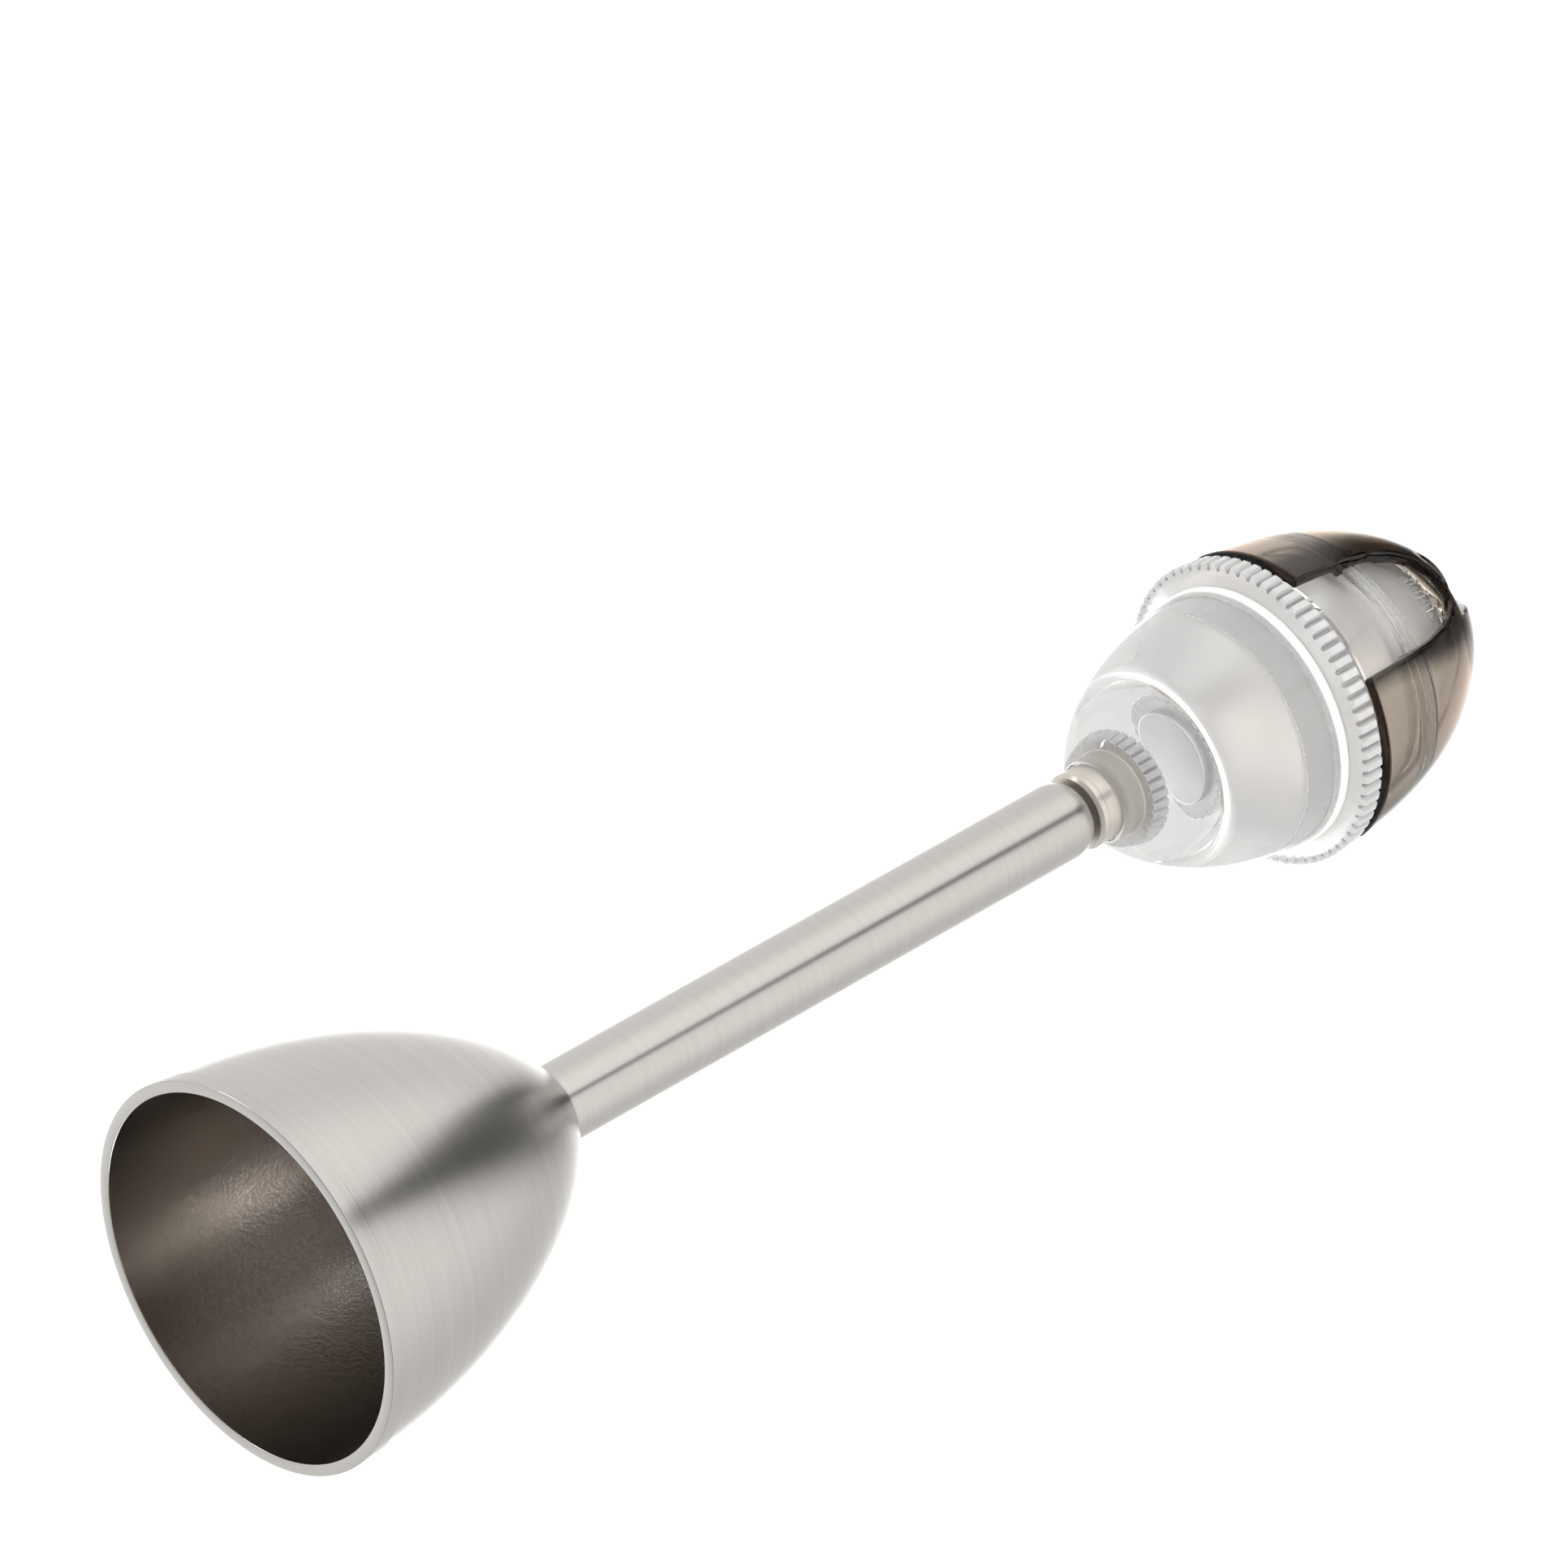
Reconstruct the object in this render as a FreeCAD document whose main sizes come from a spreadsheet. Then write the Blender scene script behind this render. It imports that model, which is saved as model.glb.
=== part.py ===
import FreeCAD, Part
import math
import os
import Sketcher

# Egg topper with a salt shaker for a handle.
# It stands on the mouth of its cup: the mouth's plane is z = 0 and the axis is +Z, in millimetres.

DOC = FreeCAD.newDocument("EggTopper")
SHEET = DOC.addObject("Spreadsheet::Sheet", "Sizes")

# Driving sizes. Levels are heights above the mouth unless a name says otherwise.
DRIVING = {
    # cup
    "cup_full_radius": 19.79,
    "cup_full_length": 40.16,
    "cup_curve": 1.857,
    "cup_shoulder": 1.6225,
    "cup_wall": 1.0,
    "cup_crown_wall": 2.5,
    "cup_crown_thickness": 3.0,
    "bead_step": 0.2,
    "bead_height": 1.9,
    # tube
    "tube_radius": 3.95,
    "tube_wall": 0.55,
    "tube_top": 108.3,
    "tube_turned_in": 0.6,
    "tube_shoulder_height": 2.1,
    "tube_shoulder_radius": 4.2,
    "tube_lip_thickness": 0.5,
    "tube_lip_opening_radius": 2.4,
    # anvil plug
    "anvil_head_margin": 0.3,
    "anvil_head_thickness": 1.0,
    "anvil_head_chamfer": 0.5,
    "anvil_shank_length": 8.4,
    "anvil_dish_radius": 2.2,
    "anvil_dish_depth": 0.3,
    # hammer and rod
    "rod_radius": 1.5,
    "hammer_clearance": 0.1,
    "hammer_length": 14.0,
    "hammer_nose_chamfer": 0.5,
    "hammer_nose_thickness": 3.0,
    "cross_pin_radius": 0.5,
    "cross_pin_height": 8.0,
    "cross_pin_short": 0.3,
    # spring and its seats
    "washer_thickness": 0.8,
    "washer_clearance": 0.2,
    "spring_length": 38.4,
    "spring_coil_radius": 2.55,
    "spring_wire_radius": 0.35,
    "spring_turns": 13,
    # bush
    "bush_clearance": 0.06,
    "bush_relief_radius": 1.9,
    "bush_relief_length": 3.0,
    "bush_relief_chamfer": 0.4,
    "bush_neck_step": 0.4,
    "bush_neck_length": 1.2,
    "bush_neck_slope": 0.7,
    # collar
    "collar_gap": 0.6,
    "collar_radius": 3.92,
    "collar_front_radius": 3.99,
    "collar_front_height": 0.95,
    "collar_front_chamfer": 0.35,
    "collar_front_slope": 0.1,
    "collar_land_length": 4.5,
    "collar_groove_depth": 0.45,
    "collar_sleeve_length": 6.4,
    "knurl_radius": 4.6,
    "knurl_height": 2.0,
    "knurl_depth": 0.35,
    "knurl_gap_width": 1.12,
    "knurl_count": 30,
    "collar_tail_radius": 3.4,
    "collar_tail_length": 0.9,
    "rod_engagement": 8.7,
    # clear bowl
    "bowl_full_radius": 13.80,
    "bowl_full_length": 30.0,
    "bowl_full_level": 139.55,
    "bowl_curve": 2.806,
    "bowl_shoulder": 1.471,
    "bowl_nose_step": 0.35,
    "bowl_nose_recess": 0.3,
    "bowl_lip_level": 132.2,
    "bowl_socket_radius": 12.0,
    "bowl_socket_depth": 3.5,
    "bowl_socket_ledge": 0.3,
    "bowl_floor_level": 120.5,
    "bowl_floor_radius": 9.3,
    "bowl_floor_corner": 1.4,
    "bowl_floor_round": 1.75,
    # seal
    "seal_thickness": 1.1,
    "seal_radius": 13.8,
    # knurled ring
    "ring_tip_radius": 16.1,
    "ring_thickness": 2.3,
    "ring_edge_round": 0.35,
    "ring_back_round": 0.56,
    "ring_teeth": 72,
    "ring_gap_width": 0.56,
    "ring_gap_depth": 0.68,
    "ring_bore_radius": 10.8,
    "neck_clearance": 0.1,
    "neck_length": 4.4,
    "spigot_radius": 12.6,
    "spigot_height": 2.4,
    "spigot_top_gap": 0.2,
    # salt chamber
    "chamber_foot_radius": 14.05,
    "chamber_foot_height": 0.8,
    "chamber_bulge_radius": 42.0,
    "chamber_top_radius": 12.7,
    "chamber_bore_radius": 11.5,
    "chamber_bore_depth": 2.3,
    "rib_radius": 13.35,
    "rib_bottom_level": 144.0,
    "rib_height": 1.3,
    # smoke cap
    "dome_full_radius": 16.332,
    "dome_start_level": 120.0,
    "dome_full_length": 42.5,
    "dome_curve": 3.765,
    "dome_shoulder": 1.3732,
    "cap_foot_gap": 1.0,
    "cap_wall": 1.4,
    "cap_crown_wall": 1.6,
    "cap_crown_flat": 1.2,
    "cap_roof_drop": 0.2,
    "cap_inner_corner": 0.9,
    "cap_bead_height": 0.9,
    "cap_bead_play": 0.1,
    "cap_bead_lead": 0.5,
    "cap_bead_radius": 13.0,
    "cap_rib_clearance": 0.1,
    "window_count": 3,
    "window_angle": 45.5,
    "window_azimuth": 17.25,
    "window_top_level": 155.0,
    "window_corner_radius": 2.6,
    "window_valley_radius": 10.2,
    "window_valley_top_level": 162.2,
    "window_valley_top_radius": 0.6,
    # sieve dome
    "sieve_gap": 0.45,
    "sieve_wall": 1.2,
    "sieve_rim_radius": 12.5,
    "sieve_rim_height": 1.0,
    "sieve_rim_slope": 0.4,
    "sieve_inner_corner": 0.9,
    "sieve_shoulder_level": 152.6,
    "sieve_corner_radius": 2.2,
    "sieve_top_level": 154.2,
    "sieve_top_radius": 7.9,
    "sieve_skirt_depth": 2.0,
    "sieve_hole_radius": 0.65,
    "sieve_hole_circle_radius": 8.9,
    "sieve_hole_step_angle": 9.5,
    "sieve_holes_in_group": 4,
    # how far a cutting outline reaches past what it cuts
    "cutter_margin": 2.0,
}
# A round end's radius over its width, hardly more than half, so that the arc reaches both sides.
ROUND_END = 0.501


def bell(full_radius, full_length, curve, shoulder, height):
    """Radius of a spun bell at a height above its widest circle."""
    share = 1.0 - (height / full_length) ** curve
    return full_radius * max(share, 0.0) ** (1.0 / shoulder)


def bell_formula(full_radius, full_length, curve, shoulder, height):
    """The same radius as a formula for the sheet."""
    return "%s * (1 - ((%s) / %s) ^ %s) ^ (1 / %s)" % (full_radius, height, full_length, curve, shoulder)


def bell_height_formula(full_radius, full_length, curve, shoulder, radius):
    """Height above the widest circle at which the bell has a radius, as a formula for the sheet."""
    return "%s * (1 - ((%s) / %s) ^ %s) ^ (1 / %s)" % (full_length, radius, full_radius, shoulder, curve)


CUP = ("cup_full_radius", "cup_full_length", "cup_curve", "cup_shoulder")
CUP_INSIDE = ("cup_inner_radius", "cup_inner_length", "cup_curve", "cup_shoulder")
BOWL = ("bowl_full_radius", "bowl_full_length", "bowl_curve", "bowl_shoulder")
DOME = ("dome_full_radius", "dome_full_length", "dome_curve", "dome_shoulder")
DOME_INSIDE = ("cap_inner_full_radius", "cap_inner_full_length", "dome_curve", "dome_shoulder")
SIEVE = ("sieve_full_radius", "sieve_full_length", "dome_curve", "dome_shoulder")
SIEVE_INSIDE = ("sieve_inner_full_radius", "sieve_inner_full_length", "dome_curve", "dome_shoulder")

# Sizes that follow from the driving ones.
DERIVED = {
    "cup_inner_radius": "cup_full_radius - cup_wall",
    "cup_inner_length": "cup_full_length - cup_crown_wall",
    "cup_neck_level": bell_height_formula(*CUP, "tube_radius"),
    "cup_crown_level": "cup_neck_level - cup_crown_thickness",
    "cup_crown_radius": bell_formula(*CUP_INSIDE, "cup_crown_level"),
    "anvil_head_radius": "cup_crown_radius - anvil_head_margin",
    "tube_bore_radius": "tube_radius - tube_wall",
    "anvil_top_level": "cup_crown_level + anvil_shank_length",
    "hammer_top_level": "anvil_top_level + hammer_length",
    "spring_bottom_level": "hammer_top_level + washer_thickness",
    "spring_top_level": "spring_bottom_level + spring_length",
    "bush_bottom_level": "spring_top_level + washer_thickness",
    "bush_top_level": "tube_top - tube_lip_thickness",
    "bush_neck_radius": "tube_bore_radius - bush_neck_step",
    "bush_neck_level": "bush_top_level - bush_neck_length",
    "bush_body_level": "bush_neck_level - bush_neck_slope",
    "collar_level": "tube_top + collar_gap",
    "collar_groove_level": "collar_level + collar_land_length",
    "collar_groove_radius": "collar_radius - collar_groove_depth",
    "knurl_level": "collar_level + collar_sleeve_length",
    "knurl_top_level": "knurl_level + knurl_height",
    "collar_top_level": "knurl_top_level + collar_tail_length",
    "rod_top_level": "collar_level + rod_engagement",
    "bowl_nose_radius": "collar_radius + bowl_nose_step",
    "bowl_nose_level": "bowl_full_level - " + bell_height_formula(*BOWL, "bowl_nose_radius"),
    "ring_bottom_level": "bowl_lip_level + seal_thickness",
    "ring_top_level": "ring_bottom_level + ring_thickness",
    "neck_radius": "bowl_socket_radius - neck_clearance",
    "rib_top_level": "rib_bottom_level + rib_height",
    "cap_foot_level": "ring_top_level + cap_foot_gap",
    "dome_top_level": "dome_start_level + dome_full_length",
    "cap_inner_full_radius": "dome_full_radius - cap_wall",
    "cap_inner_full_length": "dome_full_length - cap_crown_wall",
    "cap_bead_top_level": "rib_bottom_level - cap_bead_play",
    "cap_bead_bottom_level": "cap_bead_top_level - cap_bead_height",
    "cap_groove_radius": "rib_radius + cap_rib_clearance",
    "sieve_full_radius": "cap_inner_full_radius - sieve_gap",
    "sieve_full_length": "cap_inner_full_length - sieve_gap",
    "sieve_inner_full_radius": "sieve_full_radius - sieve_wall",
    "sieve_inner_full_length": "sieve_full_length - sieve_wall",
    "sieve_inner_top_level": "sieve_top_level - sieve_wall",
    "sieve_rim_top_level": "rib_top_level + sieve_rim_height",
    "sieve_wall_level": "sieve_rim_top_level + sieve_rim_slope",
    "sieve_inner_shoulder_level": "sieve_inner_top_level - sieve_inner_corner",
    "sieve_inner_shoulder_radius": bell_formula(
        *SIEVE_INSIDE, "sieve_inner_shoulder_level - dome_start_level"),
}

ROW = {"next": 1}


def store(alias, content):
    """Put one cell in the sheet under an alias."""
    row = ROW["next"]
    ROW["next"] = row + 1
    SHEET.set("A%d" % row, alias)
    SHEET.set("B%d" % row, content)
    SHEET.setAlias("B%d" % row, alias)


for size_name, size_value in DRIVING.items():
    store(size_name, str(size_value))
for size_name, size_formula in DERIVED.items():
    store(size_name, "=" + size_formula)
SHEET.recompute()


def size(alias):
    """Number held by a cell of the sheet."""
    return float(SHEET.get(alias))


def bound(owner, label, formula):
    """Alias whose cell holds the formula; a formula that isn't an alias gets a cell of its own."""
    if formula in DRIVING or formula in DERIVED:
        return formula
    alias = "%s_%s" % (owner, label)
    store(alias, "=" + formula)
    return alias


def bell_curve(full_radius, full_length, curve, shoulder, start_level, direction, pieces=14):
    """Maker of a smooth curve along a bell between two points of a half section."""
    values = [size(name) for name in (full_radius, full_length, curve, shoulder)]
    datum = size(start_level) if start_level else 0.0

    def make(first, last):
        turn_first = math.acos(min(1.0, abs(first[1] - datum) / values[1]))
        turn_last = math.acos(min(1.0, abs(last[1] - datum) / values[1]))
        points = [FreeCAD.Vector(first[0], first[1], 0)]
        for step in range(1, pieces):
            turn = turn_first + (turn_last - turn_first) * step / pieces
            height = values[1] * math.cos(turn)
            radius = bell(values[0], values[1], values[2], values[3], height)
            points.append(FreeCAD.Vector(radius, datum + direction * height, 0))
        points.append(FreeCAD.Vector(last[0], last[1], 0))
        spline = Part.BSplineCurve()
        spline.interpolate(points)
        return spline
    return make


def arc_between(first, last, radius, side):
    """Short arc from one point to another; side +1 has its centre on the left of the way."""
    start = FreeCAD.Vector(first[0], first[1], 0)
    end = FreeCAD.Vector(last[0], last[1], 0)
    chord = end - start
    half = chord.Length / 2.0
    rise = math.sqrt(max(radius * radius - half * half, 0.0))
    left = FreeCAD.Vector(-chord.y, chord.x, 0).normalize()
    centre = (start + end) * 0.5 + left * (rise * side)
    circle = Part.Circle(centre, FreeCAD.Vector(0, 0, 1), radius)
    first_angle = math.atan2(start.y - centre.y, start.x - centre.x)
    last_angle = math.atan2(end.y - centre.y, end.x - centre.x)
    if side > 0:
        return Part.ArcOfCircle(circle, first_angle, last_angle), 1, 2
    return Part.ArcOfCircle(circle, last_angle, first_angle), 2, 1


def origin_part(body, role):
    """Plane or axis of a body's own origin."""
    for feature in body.Origin.OriginFeatures:
        if feature.Role == role:
            return feature
    raise ValueError(role)


def new_sketch(body, name, role="XZ_Plane"):
    sketch = body.newObject("Sketcher::SketchObject", name)
    sketch.AttachmentSupport = (origin_part(body, role), [""])
    sketch.MapMode = "FlatFace"
    return sketch


def fix_point(sketch, geometry, corner, values, aliases):
    """Hold a point at its two sizes."""
    axes = ((-2, "DistanceX"), (-1, "DistanceY"))
    for (axis, kind), value, alias in zip(axes, values, aliases):
        if abs(value) < 1e-9:
            sketch.addConstraint(Sketcher.Constraint("PointOnObject", geometry, corner, axis))
            continue
        number = sketch.addConstraint(Sketcher.Constraint(kind, -1, 1, geometry, corner, value))
        sketch.setExpression("Constraints[%d]" % number, "Sizes.%s" % alias)


def draw(sketch, outline):
    """Closed outline. Each corner is (x, y) or (x, y, way on): a curve maker or (radius, side)."""
    corners = []
    for number, corner in enumerate(outline):
        aliases = [bound(sketch.Name, "%s%d" % (letter, number), corner[place])
                   for place, letter in ((0, "x"), (1, "y"))]
        corners.append((aliases, corner[2] if len(corner) > 2 else None))
    radii = {}
    for number, (aliases, way) in enumerate(corners):
        if isinstance(way, tuple):
            radii[number] = bound(sketch.Name, "arc%d" % number, way[0])
    SHEET.recompute()
    points = [[size(alias) for alias in aliases] for aliases, way in corners]
    ends = []
    for number, (aliases, way) in enumerate(corners):
        first = points[number]
        last = points[(number + 1) % len(points)]
        if way is None:
            start = FreeCAD.Vector(first[0], first[1], 0)
            end = FreeCAD.Vector(last[0], last[1], 0)
            ends.append((sketch.addGeometry(Part.LineSegment(start, end), False), 1, 2))
        elif isinstance(way, tuple):
            arc, start_corner, end_corner = arc_between(first, last, size(radii[number]), way[1])
            ends.append((sketch.addGeometry(arc, False), start_corner, end_corner))
        else:
            ends.append((sketch.addGeometry(way(first, last), False), 1, 2))
    for number, (geometry, start, end) in enumerate(ends):
        follower = ends[(number + 1) % len(ends)]
        sketch.addConstraint(Sketcher.Constraint("Coincident", geometry, end, follower[0], follower[1]))
        fix_point(sketch, geometry, start, points[number], corners[number][0])
        if number in radii:
            place = sketch.addConstraint(Sketcher.Constraint("Radius", geometry, size(radii[number])))
            sketch.setExpression("Constraints[%d]" % place, "Sizes.%s" % radii[number])


def turned(name, outline):
    """Body of revolution about +Z from its closed half section."""
    body = DOC.addObject("PartDesign::Body", name)
    sketch = new_sketch(body, name + "_section")
    draw(sketch, outline)
    turn = body.newObject("PartDesign::Revolution", name + "_turn")
    turn.Profile = sketch
    turn.ReferenceAxis = (sketch, ["V_Axis"])
    turn.Angle = 360
    sketch.Visibility = False
    DOC.recompute()
    return body


def repeat_round(body, feature, name, count):
    """Repeat a feature evenly round the axis."""
    pattern = body.newObject("PartDesign::PolarPattern", name)
    pattern.Originals = [feature]
    pattern.Axis = (origin_part(body, "Z_Axis"), [""])
    pattern.Angle = 360
    pattern.setExpression("Occurrences", "Sizes.%s" % count)
    body.Tip = pattern
    DOC.recompute()
    return pattern


def cut_through(body, sketch, name):
    """Cut a flat sketch through the body, both ways along the axis."""
    pocket = body.newObject("PartDesign::Pocket", name)
    pocket.Profile = sketch
    pocket.Type = 1
    pocket.Midplane = True
    sketch.Visibility = False
    before = body.Shape.Volume
    DOC.recompute()
    if pocket.Shape.Volume >= before:
        raise ValueError("%s cuts nothing" % name)
    return pocket


# ---------------------------------------------------------------- cup and tube
turned("bell_cup", [
    ("cup_inner_radius", "0"),
    ("cup_full_radius + bead_step", "0"),
    ("cup_full_radius + bead_step", "bead_height"),
    (bell_formula(*CUP, "bead_height"), "bead_height", bell_curve(*CUP, None, 1)),
    ("tube_radius", "cup_neck_level"),
    ("tube_radius", "cup_crown_level"),
    ("cup_crown_radius", "cup_crown_level", bell_curve(*CUP_INSIDE, None, 1)),
])

turned("anvil_plug", [
    ("0", "cup_crown_level - anvil_head_thickness + anvil_dish_depth"),
    ("anvil_dish_radius", "cup_crown_level - anvil_head_thickness"),
    ("anvil_head_radius - anvil_head_chamfer", "cup_crown_level - anvil_head_thickness"),
    ("anvil_head_radius", "cup_crown_level - anvil_head_thickness + anvil_head_chamfer"),
    ("anvil_head_radius", "cup_crown_level"),
    ("tube_bore_radius", "cup_crown_level"),
    ("tube_bore_radius", "anvil_top_level"),
    ("0", "anvil_top_level"),
])

turned("guide_tube", [
    ("tube_bore_radius", "cup_crown_level"),
    ("tube_radius", "cup_crown_level"),
    ("tube_radius", "tube_top - tube_shoulder_height", ("tube_shoulder_radius", 1)),
    ("tube_radius - tube_turned_in", "tube_top"),
    ("tube_lip_opening_radius", "tube_top"),
    ("tube_lip_opening_radius", "bush_top_level"),
    ("bush_neck_radius", "bush_top_level"),
    ("bush_neck_radius", "bush_neck_level"),
    ("tube_bore_radius", "bush_body_level"),
])

turned("end_bush", [
    ("rod_radius + bush_clearance", "bush_bottom_level + bush_relief_length"),
    ("bush_relief_radius", "bush_bottom_level + bush_relief_length - bush_relief_chamfer"),
    ("bush_relief_radius", "bush_bottom_level"),
    ("tube_bore_radius", "bush_bottom_level"),
    ("tube_bore_radius", "bush_body_level"),
    ("bush_neck_radius", "bush_neck_level"),
    ("bush_neck_radius", "bush_top_level"),
    ("rod_radius + bush_clearance", "bush_top_level"),
])

# ---------------------------------------------------------------- spring and its seats
turned("upper_spring_washer", [
    ("rod_radius + washer_clearance", "spring_top_level"),
    ("tube_bore_radius", "spring_top_level"),
    ("tube_bore_radius", "bush_bottom_level"),
    ("rod_radius + washer_clearance", "bush_bottom_level"),
])

turned("lower_spring_washer", [
    ("rod_radius", "hammer_top_level"),
    ("tube_bore_radius - washer_clearance", "hammer_top_level"),
    ("tube_bore_radius - washer_clearance", "spring_bottom_level"),
    ("rod_radius", "spring_bottom_level"),
])


def coil(name):
    """Compression spring with its ends ground flat on the two washers."""
    bottom = size("spring_bottom_level")
    length = size("spring_length")
    radius = size("spring_coil_radius")
    pitch = length / size("spring_turns")
    spine = Part.makeHelix(pitch, length, radius)
    section = Part.Wire([Part.makeCircle(size("spring_wire_radius"), FreeCAD.Vector(radius, 0, 0),
                                         FreeCAD.Vector(0, 1, 0))])
    wire = Part.Wire(spine.Edges).makePipeShell([section], True, True)
    wire.translate(FreeCAD.Vector(0, 0, bottom))
    room = Part.makeCylinder(2 * radius, length, FreeCAD.Vector(0, 0, bottom))
    feature = DOC.addObject("Part::Feature", name)
    feature.Shape = wire.common(room)
    return feature


coil("drive_spring")

# ---------------------------------------------------------------- hammer and rod
hammer = turned("hammer", [
    ("0", "anvil_top_level"),
    ("tube_bore_radius - hammer_clearance - hammer_nose_chamfer", "anvil_top_level"),
    ("tube_bore_radius - hammer_clearance", "anvil_top_level + hammer_nose_chamfer"),
    ("tube_bore_radius - hammer_clearance", "hammer_top_level"),
    ("rod_radius", "hammer_top_level"),
    ("rod_radius", "anvil_top_level + hammer_nose_thickness"),
    ("0", "anvil_top_level + hammer_nose_thickness"),
])

rod = turned("plunger_rod", [
    ("0", "anvil_top_level + hammer_nose_thickness"),
    ("rod_radius", "anvil_top_level + hammer_nose_thickness"),
    ("rod_radius", "rod_top_level"),
    ("0", "rod_top_level"),
])


def cross_hole(body):
    """Drill the cross pin's hole along X."""
    sketch = new_sketch(body, body.Name + "_cross", "YZ_Plane")
    number = sketch.addGeometry(Part.Circle(FreeCAD.Vector(0, size("anvil_top_level"), 0),
                                            FreeCAD.Vector(0, 0, 1), size("cross_pin_radius")), False)
    sketch.addConstraint(Sketcher.Constraint("PointOnObject", number, 3, -2))
    level = bound(body.Name, "cross_level", "anvil_top_level + cross_pin_height")
    SHEET.recompute()
    place = sketch.addConstraint(Sketcher.Constraint("DistanceY", -1, 1, number, 3, size(level)))
    sketch.setExpression("Constraints[%d]" % place, "Sizes.%s" % level)
    place = sketch.addConstraint(Sketcher.Constraint("Radius", number, size("cross_pin_radius")))
    sketch.setExpression("Constraints[%d]" % place, "Sizes.cross_pin_radius")
    cut_through(body, sketch, body.Name + "_cross_hole")


cross_hole(hammer)
cross_hole(rod)

pin = DOC.addObject("Part::Cylinder", "hammer_pin")
half_pin = bound("pin", "half", "tube_bore_radius - hammer_clearance - cross_pin_short")
pin_level = bound("pin", "level", "anvil_top_level + cross_pin_height")
SHEET.recompute()
pin.setExpression("Radius", "Sizes.cross_pin_radius")
pin.setExpression("Height", "Sizes.%s * 2" % half_pin)
pin.Placement = FreeCAD.Placement(FreeCAD.Vector(-size(half_pin), 0, size(pin_level)),
                                  FreeCAD.Rotation(FreeCAD.Vector(0, 1, 0), 90))

# ---------------------------------------------------------------- collar
collar = turned("collar", [
    ("rod_radius", "collar_level"),
    ("collar_front_radius - collar_front_chamfer", "collar_level"),
    ("collar_front_radius", "collar_level + collar_front_chamfer"),
    ("collar_front_radius", "collar_level + collar_front_height"),
    ("collar_radius", "collar_level + collar_front_height + collar_front_slope"),
    ("collar_radius", "collar_groove_level"),
    ("collar_groove_radius", "collar_groove_level"),
    ("collar_groove_radius", "knurl_level"),
    ("knurl_radius", "knurl_level"),
    ("knurl_radius", "knurl_top_level"),
    ("collar_tail_radius", "knurl_top_level"),
    ("collar_tail_radius", "collar_top_level"),
    ("0", "collar_top_level"),
    ("0", "rod_top_level"),
    ("rod_radius", "rod_top_level"),
])


def knurl(body):
    """Straight knurl on the collar's thick end only."""
    sketch = new_sketch(body, "knurl_gap", "XY_Plane")
    draw(sketch, [
        ("knurl_radius + knurl_depth", "-knurl_gap_width / 2"),
        ("knurl_radius + knurl_depth", "knurl_gap_width / 2"),
        ("knurl_radius - knurl_depth", "0"),
    ])
    pocket = cut_through(body, sketch, "knurl_cut")
    repeat_round(body, pocket, "knurl_round", "knurl_count")


knurl(collar)

# ---------------------------------------------------------------- clear bowl
turned("salt_bowl", [
    ("collar_radius", "bowl_nose_level + bowl_nose_recess"),
    ("bowl_nose_radius", "bowl_nose_level", bell_curve(*BOWL, "bowl_full_level", -1)),
    (bell_formula(*BOWL, "bowl_full_level - bowl_lip_level"), "bowl_lip_level"),
    ("bowl_socket_radius", "bowl_lip_level"),
    ("bowl_socket_radius", "bowl_lip_level - bowl_socket_depth"),
    ("bowl_socket_radius - bowl_socket_ledge", "bowl_lip_level - bowl_socket_depth"),
    ("bowl_floor_radius", "bowl_floor_level + bowl_floor_corner", ("bowl_floor_round", -1)),
    ("bowl_floor_radius - bowl_floor_corner", "bowl_floor_level"),
    ("0", "bowl_floor_level"),
    ("0", "collar_top_level"),
    ("collar_tail_radius", "collar_top_level"),
    ("collar_tail_radius", "knurl_top_level"),
    ("knurl_radius", "knurl_top_level"),
    ("knurl_radius", "knurl_level"),
    ("collar_groove_radius", "knurl_level"),
    ("collar_groove_radius", "collar_groove_level"),
    ("collar_radius", "collar_groove_level"),
])

# ---------------------------------------------------------------- upper half of the shaker
turned("seal_ring", [
    ("neck_radius", "bowl_lip_level"),
    ("seal_radius", "bowl_lip_level"),
    ("seal_radius", "ring_bottom_level"),
    ("neck_radius", "ring_bottom_level"),
])

ring = turned("knurled_ring", [
    ("ring_bore_radius", "ring_bottom_level - neck_length"),
    ("neck_radius", "ring_bottom_level - neck_length"),
    ("neck_radius", "ring_bottom_level"),
    ("ring_tip_radius - ring_edge_round", "ring_bottom_level", ("ring_edge_round", 1)),
    ("ring_tip_radius", "ring_bottom_level + ring_edge_round"),
    ("ring_tip_radius", "ring_top_level - ring_back_round", ("ring_back_round", 1)),
    ("ring_tip_radius - ring_back_round", "ring_top_level"),
    ("spigot_radius", "ring_top_level"),
    ("spigot_radius", "ring_top_level + spigot_height"),
    ("ring_bore_radius", "ring_top_level + spigot_height"),
])


def ring_gaps(body):
    """Round-bottomed gaps between the teeth of the ring's edge."""
    sketch = new_sketch(body, "ring_gap", "XY_Plane")
    gap_outer = "ring_tip_radius + ring_gap_depth"
    gap_inner = "ring_tip_radius - ring_gap_depth + ring_gap_width / 2"
    draw(sketch, [
        (gap_outer, "-ring_gap_width / 2"),
        (gap_outer, "ring_gap_width / 2"),
        (gap_inner, "ring_gap_width / 2", ("ring_gap_width * %s" % ROUND_END, 1)),
        (gap_inner, "-ring_gap_width / 2"),
    ])
    pocket = cut_through(body, sketch, "ring_gap_cut")
    repeat_round(body, pocket, "ring_teeth_round", "ring_teeth")


ring_gaps(ring)

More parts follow.
